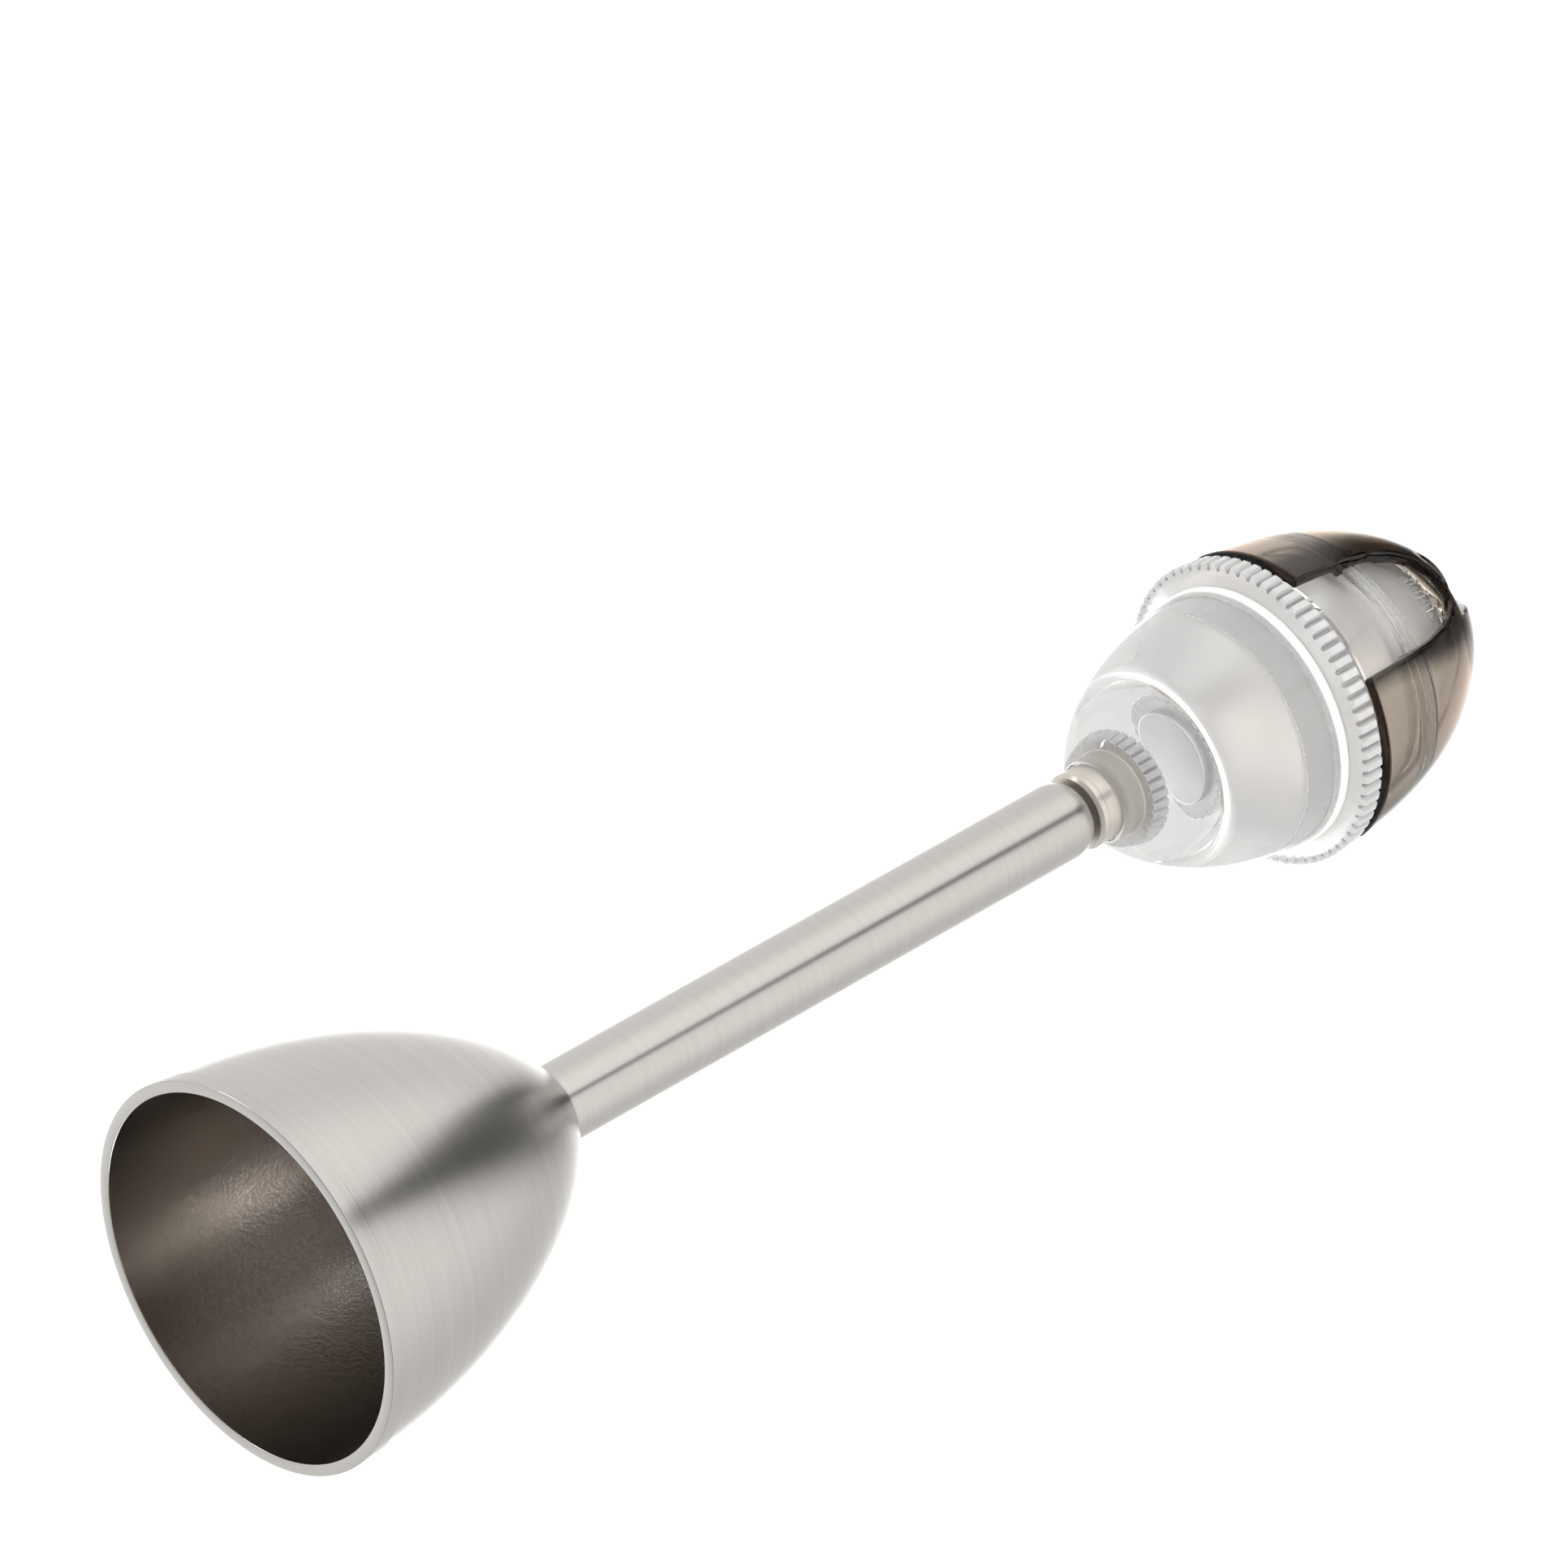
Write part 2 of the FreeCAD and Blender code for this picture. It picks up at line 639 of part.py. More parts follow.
turned("salt_chamber", [
    ("spigot_radius", "ring_top_level"),
    ("chamber_foot_radius", "ring_top_level"),
    ("chamber_foot_radius", "ring_top_level + chamber_foot_height", ("chamber_bulge_radius", 1)),
    ("chamber_top_radius", "rib_bottom_level"),
    ("rib_radius", "rib_bottom_level"),
    ("rib_radius", "rib_top_level"),
    ("chamber_bore_radius", "rib_top_level"),
    ("chamber_bore_radius", "rib_top_level - chamber_bore_depth"),
    ("spigot_radius", "ring_top_level + spigot_height + spigot_top_gap"),
])

sieve = turned("sieve_dome", [
    ("chamber_bore_radius - sieve_wall", "rib_top_level - sieve_skirt_depth"),
    ("chamber_bore_radius", "rib_top_level - sieve_skirt_depth"),
    ("chamber_bore_radius", "rib_top_level"),
    ("sieve_rim_radius", "rib_top_level"),
    ("sieve_rim_radius", "sieve_rim_top_level"),
    (bell_formula(*SIEVE, "sieve_wall_level - dome_start_level"), "sieve_wall_level",
     bell_curve(*SIEVE, "dome_start_level", 1)),
    (bell_formula(*SIEVE, "sieve_shoulder_level - dome_start_level"), "sieve_shoulder_level",
     ("sieve_corner_radius", 1)),
    ("sieve_top_radius", "sieve_top_level"),
    ("0", "sieve_top_level"),
    ("0", "sieve_inner_top_level"),
    ("sieve_inner_shoulder_radius - sieve_inner_corner", "sieve_inner_top_level"),
    ("sieve_inner_shoulder_radius", "sieve_inner_shoulder_level",
     bell_curve(*SIEVE_INSIDE, "dome_start_level", 1)),
    (bell_formula(*SIEVE_INSIDE, "sieve_wall_level - dome_start_level"), "sieve_wall_level"),
])


def shaker_holes(body):
    """Groups of holes that lie under the cap's windows."""
    sketch = new_sketch(body, "sieve_holes", "XY_Plane")
    count = int(size("sieve_holes_in_group"))
    for number in range(count):
        share = "(%d - (sieve_holes_in_group - 1) / 2)" % number
        across = bound("sieve_hole", "x%d" % number,
                       "sieve_hole_circle_radius * cos(sieve_hole_step_angle * 1deg * %s)" % share)
        along = bound("sieve_hole", "y%d" % number,
                      "sieve_hole_circle_radius * sin(sieve_hole_step_angle * 1deg * %s)" % share)
        SHEET.recompute()
        centre = FreeCAD.Vector(size(across), size(along), 0)
        circle = Part.Circle(centre, FreeCAD.Vector(0, 0, 1), size("sieve_hole_radius"))
        hole = sketch.addGeometry(circle, False)
        fix_point(sketch, hole, 3, (centre.x, centre.y), (across, along))
        place = sketch.addConstraint(Sketcher.Constraint("Radius", hole, size("sieve_hole_radius")))
        sketch.setExpression("Constraints[%d]" % place, "Sizes.sieve_hole_radius")
    pocket = cut_through(body, sketch, "sieve_hole_cut")
    repeat_round(body, pocket, "sieve_hole_groups", "window_count")


shaker_holes(sieve)

# ---------------------------------------------------------------- smoke cap
cap = turned("smoke_cap", [
    (bell_formula(*DOME_INSIDE, "cap_foot_level - dome_start_level"), "cap_foot_level"),
    (bell_formula(*DOME, "cap_foot_level - dome_start_level"), "cap_foot_level",
     bell_curve(*DOME, "dome_start_level", 1)),
    ("0", "dome_top_level"),
    ("0", "window_valley_top_level - cap_crown_wall"),
    ("cap_crown_flat", "window_valley_top_level - cap_crown_wall"),
    ("window_valley_radius - cap_wall", "window_top_level - cap_roof_drop"),
    (bell_formula(*DOME_INSIDE, "window_top_level - cap_inner_corner - dome_start_level"),
     "window_top_level - cap_inner_corner", bell_curve(*DOME_INSIDE, "dome_start_level", 1)),
    (bell_formula(*DOME_INSIDE, "rib_top_level - dome_start_level"), "rib_top_level"),
    ("cap_groove_radius", "rib_top_level"),
    ("cap_groove_radius", "cap_bead_top_level"),
    ("cap_bead_radius", "cap_bead_top_level"),
    ("cap_bead_radius", "cap_bead_bottom_level"),
    (bell_formula(*DOME_INSIDE, "cap_bead_bottom_level - cap_bead_lead - dome_start_level"),
     "cap_bead_bottom_level - cap_bead_lead", bell_curve(*DOME_INSIDE, "dome_start_level", 1)),
])


def window_outline(body, name, reach):
    """Round-cornered outline of a window on a plane square to its middle, at a reach from the axis."""
    sketch = new_sketch(body, name, "YZ_Plane")
    sketch.setExpression(".AttachmentOffset.Base.z", "Sizes.%s" % bound(name, "reach", reach))
    half = "(%s) * tan(window_angle * 0.5deg)" % reach
    corner = "window_corner_radius * (%s) / window_valley_radius" % reach
    draw(sketch, [
        ("-%s" % half, "cap_foot_level - cutter_margin"),
        (half, "cap_foot_level - cutter_margin"),
        (half, "window_top_level - %s" % corner, (corner, 1)),
        ("%s - %s" % (half, corner), "window_top_level"),
        ("%s - %s" % (corner, half), "window_top_level", (corner, 1)),
        ("-%s" % half, "window_top_level - %s" % corner),
    ])
    sketch.Visibility = False
    return sketch


def cut_window(body):
    """One window: radial sides and round upper corners."""
    near = window_outline(body, "window_near", "window_valley_radius / 2")
    far = window_outline(body, "window_far", "dome_full_radius + cutter_margin")
    loft = body.newObject("PartDesign::SubtractiveLoft", "window_cut")
    loft.Profile = near
    loft.Sections = [(far, [""])]
    loft.Ruled = True
    before = body.Shape.Volume
    DOC.recompute()
    if loft.Shape.Volume >= before:
        raise ValueError("the window cuts nothing")
    return loft


def cut_valley(body):
    """Sunken part between two arms, from the window's end up to the crown."""
    sketch = new_sketch(body, "valley_section")
    draw(sketch, [
        ("window_valley_radius", "window_top_level"),
        ("dome_full_radius + cutter_margin", "window_top_level"),
        ("dome_full_radius + cutter_margin", "dome_top_level + cutter_margin"),
        ("window_valley_top_radius", "dome_top_level + cutter_margin"),
        ("window_valley_top_radius", "window_valley_top_level"),
    ])
    groove = body.newObject("PartDesign::Groove", "valley_cut")
    groove.Profile = sketch
    groove.ReferenceAxis = (sketch, ["V_Axis"])
    groove.setExpression("Angle", "Sizes.window_angle")
    groove.Midplane = True
    sketch.Visibility = False
    DOC.recompute()
    return groove


loft = cut_window(cap)
valley = cut_valley(cap)
window_copies = repeat_round(cap, valley, "window_round", "window_count")
window_copies.Originals = [loft, valley]
DOC.recompute()

window_turn = FreeCAD.Rotation(FreeCAD.Vector(0, 0, 1), size("window_azimuth"))
for windowed_piece in (cap, sieve):
    windowed_piece.Placement = FreeCAD.Placement(FreeCAD.Vector(0, 0, 0), window_turn)
DOC.recompute()

# ---------------------------------------------------------------- checks and export
NODES = [
    "bell_cup", "anvil_plug", "guide_tube", "end_bush", "upper_spring_washer", "drive_spring",
    "lower_spring_washer", "hammer", "hammer_pin", "plunger_rod", "collar", "salt_bowl", "seal_ring",
    "knurled_ring", "salt_chamber", "sieve_dome", "smoke_cap",
]

for item in DOC.Objects:
    if "Invalid" in item.State or "Error" in item.State:
        raise ValueError("%s: %s" % (item.Name, item.State))
os.makedirs("parts", exist_ok=True)
for node in NODES:
    shape = DOC.getObject(node).Shape
    if shape.isNull() or not shape.isValid() or len(shape.Solids) != 1:
        raise ValueError("%s has no valid single solid" % node)
    shape.exportStep("parts/%s.step" % node)
    box = shape.BoundBox
    print("%-20s %9.2f mm3  R %6.2f  z %7.2f to %7.2f" % (node, shape.Volume, box.XMax, box.ZMin, box.ZMax))
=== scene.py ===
from functools import partial
import math

import bmesh
import bpy
from mathutils import Matrix, Vector


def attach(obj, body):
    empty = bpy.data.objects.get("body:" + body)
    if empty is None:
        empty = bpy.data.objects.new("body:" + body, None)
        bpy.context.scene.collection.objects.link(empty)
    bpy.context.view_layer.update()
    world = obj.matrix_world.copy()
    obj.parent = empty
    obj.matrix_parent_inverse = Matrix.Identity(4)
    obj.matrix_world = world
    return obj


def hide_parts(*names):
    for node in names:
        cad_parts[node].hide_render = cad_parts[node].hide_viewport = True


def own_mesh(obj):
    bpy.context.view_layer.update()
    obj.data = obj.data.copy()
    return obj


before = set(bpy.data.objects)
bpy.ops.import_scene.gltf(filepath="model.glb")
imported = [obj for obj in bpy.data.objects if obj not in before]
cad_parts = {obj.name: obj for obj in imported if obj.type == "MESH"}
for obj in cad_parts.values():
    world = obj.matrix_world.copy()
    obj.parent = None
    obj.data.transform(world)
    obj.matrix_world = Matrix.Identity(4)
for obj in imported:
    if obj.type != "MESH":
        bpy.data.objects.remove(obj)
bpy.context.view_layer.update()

# Every length below is in millimetres until it reaches a mesh; MM turns it into metres.
MM = 0.001
TURN = 2.0 * math.pi
WELD = 0.001

# Faces that would lie on each other stay a hair apart, and a wall stays clear of its seat.
FACE_GAP = 0.02
FIT_GAP = 0.03

# ---------------------------------------------------------------- sizes, most of them shared with the solids
CUP_FULL = (19.79, 40.16, 1.857, 1.6225)
CUP_WALL = 1.0
CUP_CROWN_WALL = 2.5
CUP_CROWN = 35.549
CUP_BEAD_RADIUS = 19.99
CUP_BEAD_HEIGHT = 1.9
TUBE_RADIUS = 3.95
TUBE_BORE = 3.40
TUBE_TOP = 108.3
TUBE_OPENING = 2.4
TUBE_LIP = 0.5
TUBE_BORE_STEP = 0.4
COLLAR_LEVEL = 108.9
COLLAR_RADIUS = 3.92
COLLAR_FRONT_RADIUS = 3.99
COLLAR_FRONT_BEVEL = 0.35
COLLAR_FRONT_LENGTH = 0.95
GROOVE_LEVEL = 113.4
GROOVE_RADIUS = 3.47
KNURL_LEVEL = 115.3
KNURL_TOP = 117.3
KNURL_RADIUS = 4.6
KNURL_DEPTH = 0.35
KNURL_COUNT = 30
KNURL_GAP_SHARE = 0.42
COLLAR_TOP = 118.2
TAIL_RADIUS = 3.4
ROD_RADIUS = 1.5
ROD_TOP = 117.6
SPRING_BOTTOM = 58.749
SPRING_TOP = 97.149
SPRING_TURNS = 13
SPRING_COIL = 2.55
SPRING_WIRE = 0.35
BOWL_FULL = (13.80, 30.0, 2.806, 1.471)
BOWL_DATUM = 139.55
NOSE_RADIUS = 4.27
NOSE_RECESS = 0.3
BOWL_LIP = 132.2
SOCKET_RADIUS = 12.0
SOCKET_LEVEL = 128.7
FLOOR_LEVEL = 120.5
FLOOR_RADIUS = 9.3
SEAL_RADIUS = 13.8
RING_BOTTOM = 133.3
RING_TOP = 135.6
RING_TIP = 16.1
RING_ROOT = 15.42
RING_TEETH = 72
RING_GAP_SHARE = 0.46
RING_FLANK_SHARE = 0.26
RING_BORE = 10.8
NECK_RADIUS = 11.9
NECK_BOTTOM = 128.9
SPIGOT_RADIUS = 12.6
SPIGOT_TOP = 138.0
CHAMBER_FOOT = 14.05
CHAMBER_TOP_RADIUS = 12.7
CHAMBER_BORE = 11.5
CHAMBER_BULGE = 0.2
CHAMBER_STRAIGHT = 0.8
CHAMBER_REBATE = 2.3
RIB_RADIUS = 13.35
RIB_BOTTOM = 144.0
RIB_TOP = 145.3
DOME_FULL = (16.332, 42.5, 3.765, 1.3732)
DOME_DATUM = 120.0
CAP_WALL = 1.4
CAP_CROWN_WALL = 1.6
CAP_FOOT = 136.6
CAP_BEAD = 13.0
CAP_BEAD_BOTTOM = 143.0
CAP_BEAD_TOP = 143.9
CAP_GROOVE = 13.45
CAP_EDGE = 0.35
WINDOWS = 3
WINDOW_ANGLE = math.radians(45.5)
WINDOW_AZIMUTH = math.radians(17.25)
WINDOW_TOP = 155.0
WINDOW_CORNER = 4.2
WINDOW_ARCH = 1.5
VALLEY_RADIUS = 10.2
VALLEY_TOP = 162.2
VALLEY_TOP_RADIUS = 0.6
SIEVE_GAP = 0.45
SIEVE_WALL = 1.2
SIEVE_RIM = 12.5
SIEVE_RIM_LEVEL = 146.3
SIEVE_SKIRT = 2.0
SIEVE_SHOULDER = 152.6
SIEVE_TOP = 154.2
SIEVE_TOP_RADIUS = 7.9
SIEVE_HOLE_RADIUS = 0.65
SIEVE_HOLE_CIRCLE = 8.9
SIEVE_HOLE_STEP = math.radians(9.5)
SIEVE_HOLES = 4
SIEVE_HOLE_LEVEL = 153.5
SIEVE_DRILL_LENGTH = 5.0
WINDOW_MIDDLES = [WINDOW_AZIMUTH + TURN * window / WINDOWS for window in range(WINDOWS)]


# ---------------------------------------------------------------- node helpers
def new_material(name):
    material = bpy.data.materials.new(name)
    material.use_nodes = True
    tree = material.node_tree
    tree.nodes.clear()
    output = tree.nodes.new("ShaderNodeOutputMaterial")
    shader = tree.nodes.new("ShaderNodeBsdfPrincipled")
    tree.links.new(shader.outputs["BSDF"], output.inputs["Surface"])
    return material, tree, shader


def find_node(tree, kind):
    return next(node for node in tree.nodes if node.type == kind)


def object_coordinates(tree):
    return tree.nodes.new("ShaderNodeTexCoord").outputs["Object"]


def split_axes(tree, vector):
    node = tree.nodes.new("ShaderNodeSeparateXYZ")
    tree.links.new(vector, node.inputs["Vector"])
    return node.outputs["X"], node.outputs["Y"], node.outputs["Z"]


def calculate(tree, operation, *values):
    node = tree.nodes.new("ShaderNodeMath")
    node.operation = operation
    for place, value in enumerate(values):
        if isinstance(value, float):
            node.inputs[place].default_value = value
        else:
            tree.links.new(value, node.inputs[place])
    return node.outputs[0]


def fade(tree, value, low, high, first, last):
    """Run smoothly from the first result at the low value to the last one at the high value."""
    node = tree.nodes.new("ShaderNodeMapRange")
    node.interpolation_type = "SMOOTHSTEP"
    for label, number in (("From Min", low), ("From Max", high), ("To Min", first), ("To Max", last)):
        node.inputs[label].default_value = number
    tree.links.new(value, node.inputs["Value"])
    return node.outputs["Result"]


def stretched_noise(tree, vector, scale, detail, stretch=(1.0, 1.0, 1.0)):
    mapping = tree.nodes.new("ShaderNodeMapping")
    mapping.inputs["Scale"].default_value = stretch
    noise = tree.nodes.new("ShaderNodeTexNoise")
    noise.inputs["Scale"].default_value = scale
    noise.inputs["Detail"].default_value = detail
    tree.links.new(vector, mapping.inputs["Vector"])
    tree.links.new(mapping.outputs["Vector"], noise.inputs["Vector"])
    return noise.outputs["Fac"]


def group(name, outputs, **numbers):
    """Node group that takes a vector and named numbers, and gives numbers."""
    made = bpy.data.node_groups.new(name, "ShaderNodeTree")
    made.interface.new_socket(name="Vector", in_out="INPUT", socket_type="NodeSocketVector")
    for label, value in numbers.items():
        socket = made.interface.new_socket(name=label, in_out="INPUT", socket_type="NodeSocketFloat")
        socket.default_value = value
    for label in outputs:
        made.interface.new_socket(name=label, in_out="OUTPUT", socket_type="NodeSocketFloat")
    return made, made.nodes.new("NodeGroupInput"), made.nodes.new("NodeGroupOutput")


def use_group(tree, made, **numbers):
    """Place a group that reads the object's own coordinates."""
    node = tree.nodes.new("ShaderNodeGroup")
    node.node_tree = made
    for label, value in numbers.items():
        node.inputs[label].default_value = value
    tree.links.new(object_coordinates(tree), node.inputs["Vector"])
    return node


def tint(tree, shader, factor, first, second):
    """Let the base colour wander between two colours."""
    node = tree.nodes.new("ShaderNodeMix")
    node.data_type = "RGBA"
    node.inputs["A"].default_value = (*first, 1.0)
    node.inputs["B"].default_value = (*second, 1.0)
    tree.links.new(factor, node.inputs["Factor"])
    tree.links.new(node.outputs["Result"], shader.inputs["Base Color"])


def roughen(tree, shader, marks, rough, spread):
    """Let the roughness wander with slow marks, between two shares of its value."""
    wandering = fade(tree, marks, *NOISE_RANGE, rough * spread[0], rough * spread[1])
    tree.links.new(wandering, shader.inputs["Roughness"])


def bump(tree, height, shader, strength, distance):
    node = tree.nodes.new("ShaderNodeBump")
    node.inputs["Strength"].default_value = strength
    node.inputs["Distance"].default_value = distance
    tree.links.new(height, node.inputs["Height"])
    tree.links.new(node.outputs["Normal"], shader.inputs["Normal"])


# ---------------------------------------------------------------- materials
# Noise lies mostly within this range. A spread is the shares of a roughness that it wanders between.
NOISE_RANGE = (0.25, 0.75)
BRUSHED_SPREAD = (0.92, 1.06)
GRAINED_SPREAD = (0.95, 1.08)
CLEAR_SPREAD = (0.5, 1.0)
MILKY_SPREAD = (0.9, 1.1)
METAL_BUMP = 0.5
CLEAR_GRAIN = 180.0
CLEAR_WAVE = 0.03
CLEAR_WAVE_DEPTH = 0.0001
CLEAR_INDEX = 1.49
SMOKE_INDEX = 1.43
SMOKE_HAZE = 0.05
SEAL_INDEX = 1.42
SEAL_GRAIN = 400.0
SEAL_SHADE = 0.97

# Where shade is painted into the smoke cap's colour, beside the windows, on the foot's end, in the arches
# and towards the pole: angles from a window's middle in degrees, levels in millimetres and drifts in
# radians, by which the painted bands beside a window widen up the cap.
SMOKE_RISE = (140.0, 152.0)
SMOKE_LEFT = (-50.0, -31.0)
SMOKE_LEFT_DRIFT = 0.08
SMOKE_RIGHT = (22.0, 33.0)
SMOKE_RIGHT_DRIFT = 0.14
SMOKE_POLE = (157.5, 160.5)
SMOKE_POLE_SHADE = 0.35
SMOKE_FOOT = 0.12
SMOKE_ROOF_MARGIN = 0.02
SMOKE_CLOUD = (0.3, 0.7, 0.9, 1.0)

# How far the teeth's pale tips and the shade painted into their gaps reach towards each other.
TOOTH_GAP_EDGE = 0.05
TOOTH_TIP_EDGE = 0.15


def make_brushing():
    """Fine lines that run round the axis, and a slow unevenness along it."""
    made, start, end = group("brushing", ("Lines", "Patches"))
    fine = stretched_noise(made, start.outputs["Vector"], 60.0, 3.0, (0.5, 0.5, 120.0))
    coarse = stretched_noise(made, start.outputs["Vector"], 60.0, 2.0, (0.35, 0.35, 18.0))
    slow = stretched_noise(made, start.outputs["Vector"], 35.0, 2.0)
    lines = calculate(made, "MULTIPLY", calculate(made, "ADD", fine, coarse), 0.5)
    made.links.new(lines, end.inputs["Lines"])
    made.links.new(slow, end.inputs["Patches"])
    return made


def make_speckle():
    """Small even grain, and the slow haze of a handled surface."""
    made, start, end = group("speckle", ("Grain", "Haze"), Grain=900.0)
    grain = made.nodes.new("ShaderNodeTexNoise")
    grain.inputs["Detail"].default_value = 3.0
    made.links.new(start.outputs["Vector"], grain.inputs["Vector"])
    made.links.new(start.outputs["Grain"], grain.inputs["Scale"])
    haze = stretched_noise(made, start.outputs["Vector"], 120.0, 4.0)
    made.links.new(grain.outputs["Fac"], end.inputs["Grain"])
    made.links.new(haze, end.inputs["Haze"])
    return made


def make_smoke_painted_shade():
    """Painted shade on the smoke cap: 1 beside the windows, on the foot's end and in the windows' arches."""
    made, start, end = group("smoke_painted_shade", ("Depth",))
    maths = partial(calculate, made)
    ramp = partial(fade, made)
    x, y, level = split_axes(made, start.outputs["Vector"])
    turn = maths("SUBTRACT", maths("ARCTAN2", y, x), WINDOW_AZIMUTH)
    offset = maths("WRAP", turn, math.pi / WINDOWS, -math.pi / WINDOWS)
    height = ramp(level, SMOKE_RISE[0] * MM, SMOKE_RISE[1] * MM, 0.0, 1.0)

    broad = maths("ADD", offset, maths("MULTIPLY", height, SMOKE_LEFT_DRIFT))
    broad = ramp(broad, math.radians(SMOKE_LEFT[0]), math.radians(SMOKE_LEFT[1]), 0.0, 1.0)
    left = maths("MULTIPLY", broad, maths("LESS_THAN", offset, 0.0))
    narrow = maths("SUBTRACT", offset, maths("MULTIPLY", height, SMOKE_RIGHT_DRIFT))
    narrow = ramp(narrow, math.radians(SMOKE_RIGHT[0]), math.radians(SMOKE_RIGHT[1]), 1.0, 0.0)
    right = maths("MULTIPLY", narrow, maths("GREATER_THAN", offset, 0.0))

    pole = ramp(level, SMOKE_POLE[0] * MM, SMOKE_POLE[1] * MM, 0.0, SMOKE_POLE_SHADE)
    foot = maths("LESS_THAN", level, (CAP_FOOT + SMOKE_FOOT) * MM)
    roof = maths("LESS_THAN", maths("ABSOLUTE", offset), WINDOW_ANGLE / 2.0 - SMOKE_ROOF_MARGIN)
    bands = maths("MAXIMUM", left, right)
    faces = maths("MAXIMUM", pole, maths("MAXIMUM", foot, roof))
    cloud = ramp(stretched_noise(made, start.outputs["Vector"], 90.0, 2.0), *SMOKE_CLOUD)
    depth = maths("MULTIPLY", maths("MAXIMUM", bands, faces), cloud)
    made.links.new(depth, end.inputs["Depth"])
    return made


def make_tooth_gap_shade():
    """How far out a point lies in the ring's grip, which sets the shade painted into the gaps: 0 in the gaps
    and 1 on the tips.
    """
    made, start, end = group("tooth_gap_shade", ("Depth",))
    x, y, _ = split_axes(made, start.outputs["Vector"])
    squares = [calculate(made, "MULTIPLY", axis, axis) for axis in (x, y)]
    radius = calculate(made, "SQRT", calculate(made, "ADD", *squares))
    depth = fade(made, radius, (RING_ROOT + TOOTH_GAP_EDGE) * MM, (RING_TIP - TOOTH_TIP_EDGE) * MM, 0.0, 1.0)
    made.links.new(depth, end.inputs["Depth"])
    return made


BRUSHING = make_brushing()
SPECKLE = make_speckle()


def brushed_metal(name, dark, light, rough, anisotropy, depth):
    """Metal brushed round the axis: highlights spread along the axis."""
    material, tree, shader = new_material(name)
    marks = use_group(tree, BRUSHING)
    shader.inputs["Metallic"].default_value = 1.0
    shader.inputs["Anisotropic"].default_value = anisotropy
    shader.inputs["Anisotropic Rotation"].default_value = 0.25
    tangent = tree.nodes.new("ShaderNodeTangent")
    tangent.direction_type = "RADIAL"
    tangent.axis = "Z"
    tree.links.new(tangent.outputs["Tangent"], shader.inputs["Tangent"])
    tint(tree, shader, marks.outputs["Lines"], dark, light)
    roughen(tree, shader, marks.outputs["Patches"], rough, BRUSHED_SPREAD)
    bump(tree, marks.outputs["Lines"], shader, METAL_BUMP, depth)
    return material


def grained_metal(name, dark, light, rough, grain, depth, metallic=1.0):
    """Metal, or a dull plastic with no metal in it, with a fine even grain and no direction."""
    material, tree, shader = new_material(name)
    marks = use_group(tree, SPECKLE, Grain=grain)
    shader.inputs["Metallic"].default_value = metallic
    tint(tree, shader, marks.outputs["Grain"], dark, light)
    roughen(tree, shader, marks.outputs["Haze"], rough, GRAINED_SPREAD)
    bump(tree, marks.outputs["Grain"], shader, METAL_BUMP, depth)
    return material


def clear_plastic(name, colour, haze, through=1.0, index=CLEAR_INDEX):
    """Clear moulding with a little haze and a slow wave in its skin."""
    material, tree, shader = new_material(name)
    marks = use_group(tree, SPECKLE, Grain=CLEAR_GRAIN)
    shader.inputs["Base Color"].default_value = (*colour, 1.0)
    shader.inputs["Metallic"].default_value = 0.0
    shader.inputs["IOR"].default_value = index
    shader.inputs["Transmission Weight"].default_value = through
    roughen(tree, shader, marks.outputs["Haze"], haze, CLEAR_SPREAD)
    bump(tree, marks.outputs["Haze"], shader, CLEAR_WAVE, CLEAR_WAVE_DEPTH)
    return material


def smoke_plastic(name, pale, painted_shade, absorb, density):
    """Polished moulding that swallows light in its wall, with shade painted into its colour where the group
    says.
    """
    material = clear_plastic(name, pale, SMOKE_HAZE, index=SMOKE_INDEX)
    tree = material.node_tree
    depth = use_group(tree, make_smoke_painted_shade())
    # The base colour runs from pale to the painted shade colour where the group says.
    tint(tree, find_node(tree, "BSDF_PRINCIPLED"), depth.outputs["Depth"], pale, painted_shade)
    volume = tree.nodes.new("ShaderNodeVolumeAbsorption")
    volume.inputs["Color"].default_value = (*absorb, 1.0)
    volume.inputs["Density"].default_value = density
    tree.links.new(volume.outputs["Volume"], find_node(tree, "OUTPUT_MATERIAL").inputs["Volume"])
    return material


def toothed_plastic(name, gap, tip, haze, through):
    """Clear moulding with shade painted into its colour in the gaps of its teeth."""
    material = clear_plastic(name, tip, haze, through=through)
    tree = material.node_tree
    depth = use_group(tree, make_tooth_gap_shade())
    tint(tree, find_node(tree, "BSDF_PRINCIPLED"), depth.outputs["Depth"], gap, tip)
    return material


def milky_plastic(name, colour, rough, through):
    """White rubber that lets a little light in."""
    material, tree, shader = new_material(name)
    marks = use_group(tree, SPECKLE, Grain=SEAL_GRAIN)
    shader.inputs["Transmission Weight"].default_value = through
    shader.inputs["IOR"].default_value = SEAL_INDEX
    roughen(tree, shader, marks.outputs["Haze"], rough, MILKY_SPREAD)
    tint(tree, shader, marks.outputs["Grain"], [part * SEAL_SHADE for part in colour], colour)
    return material


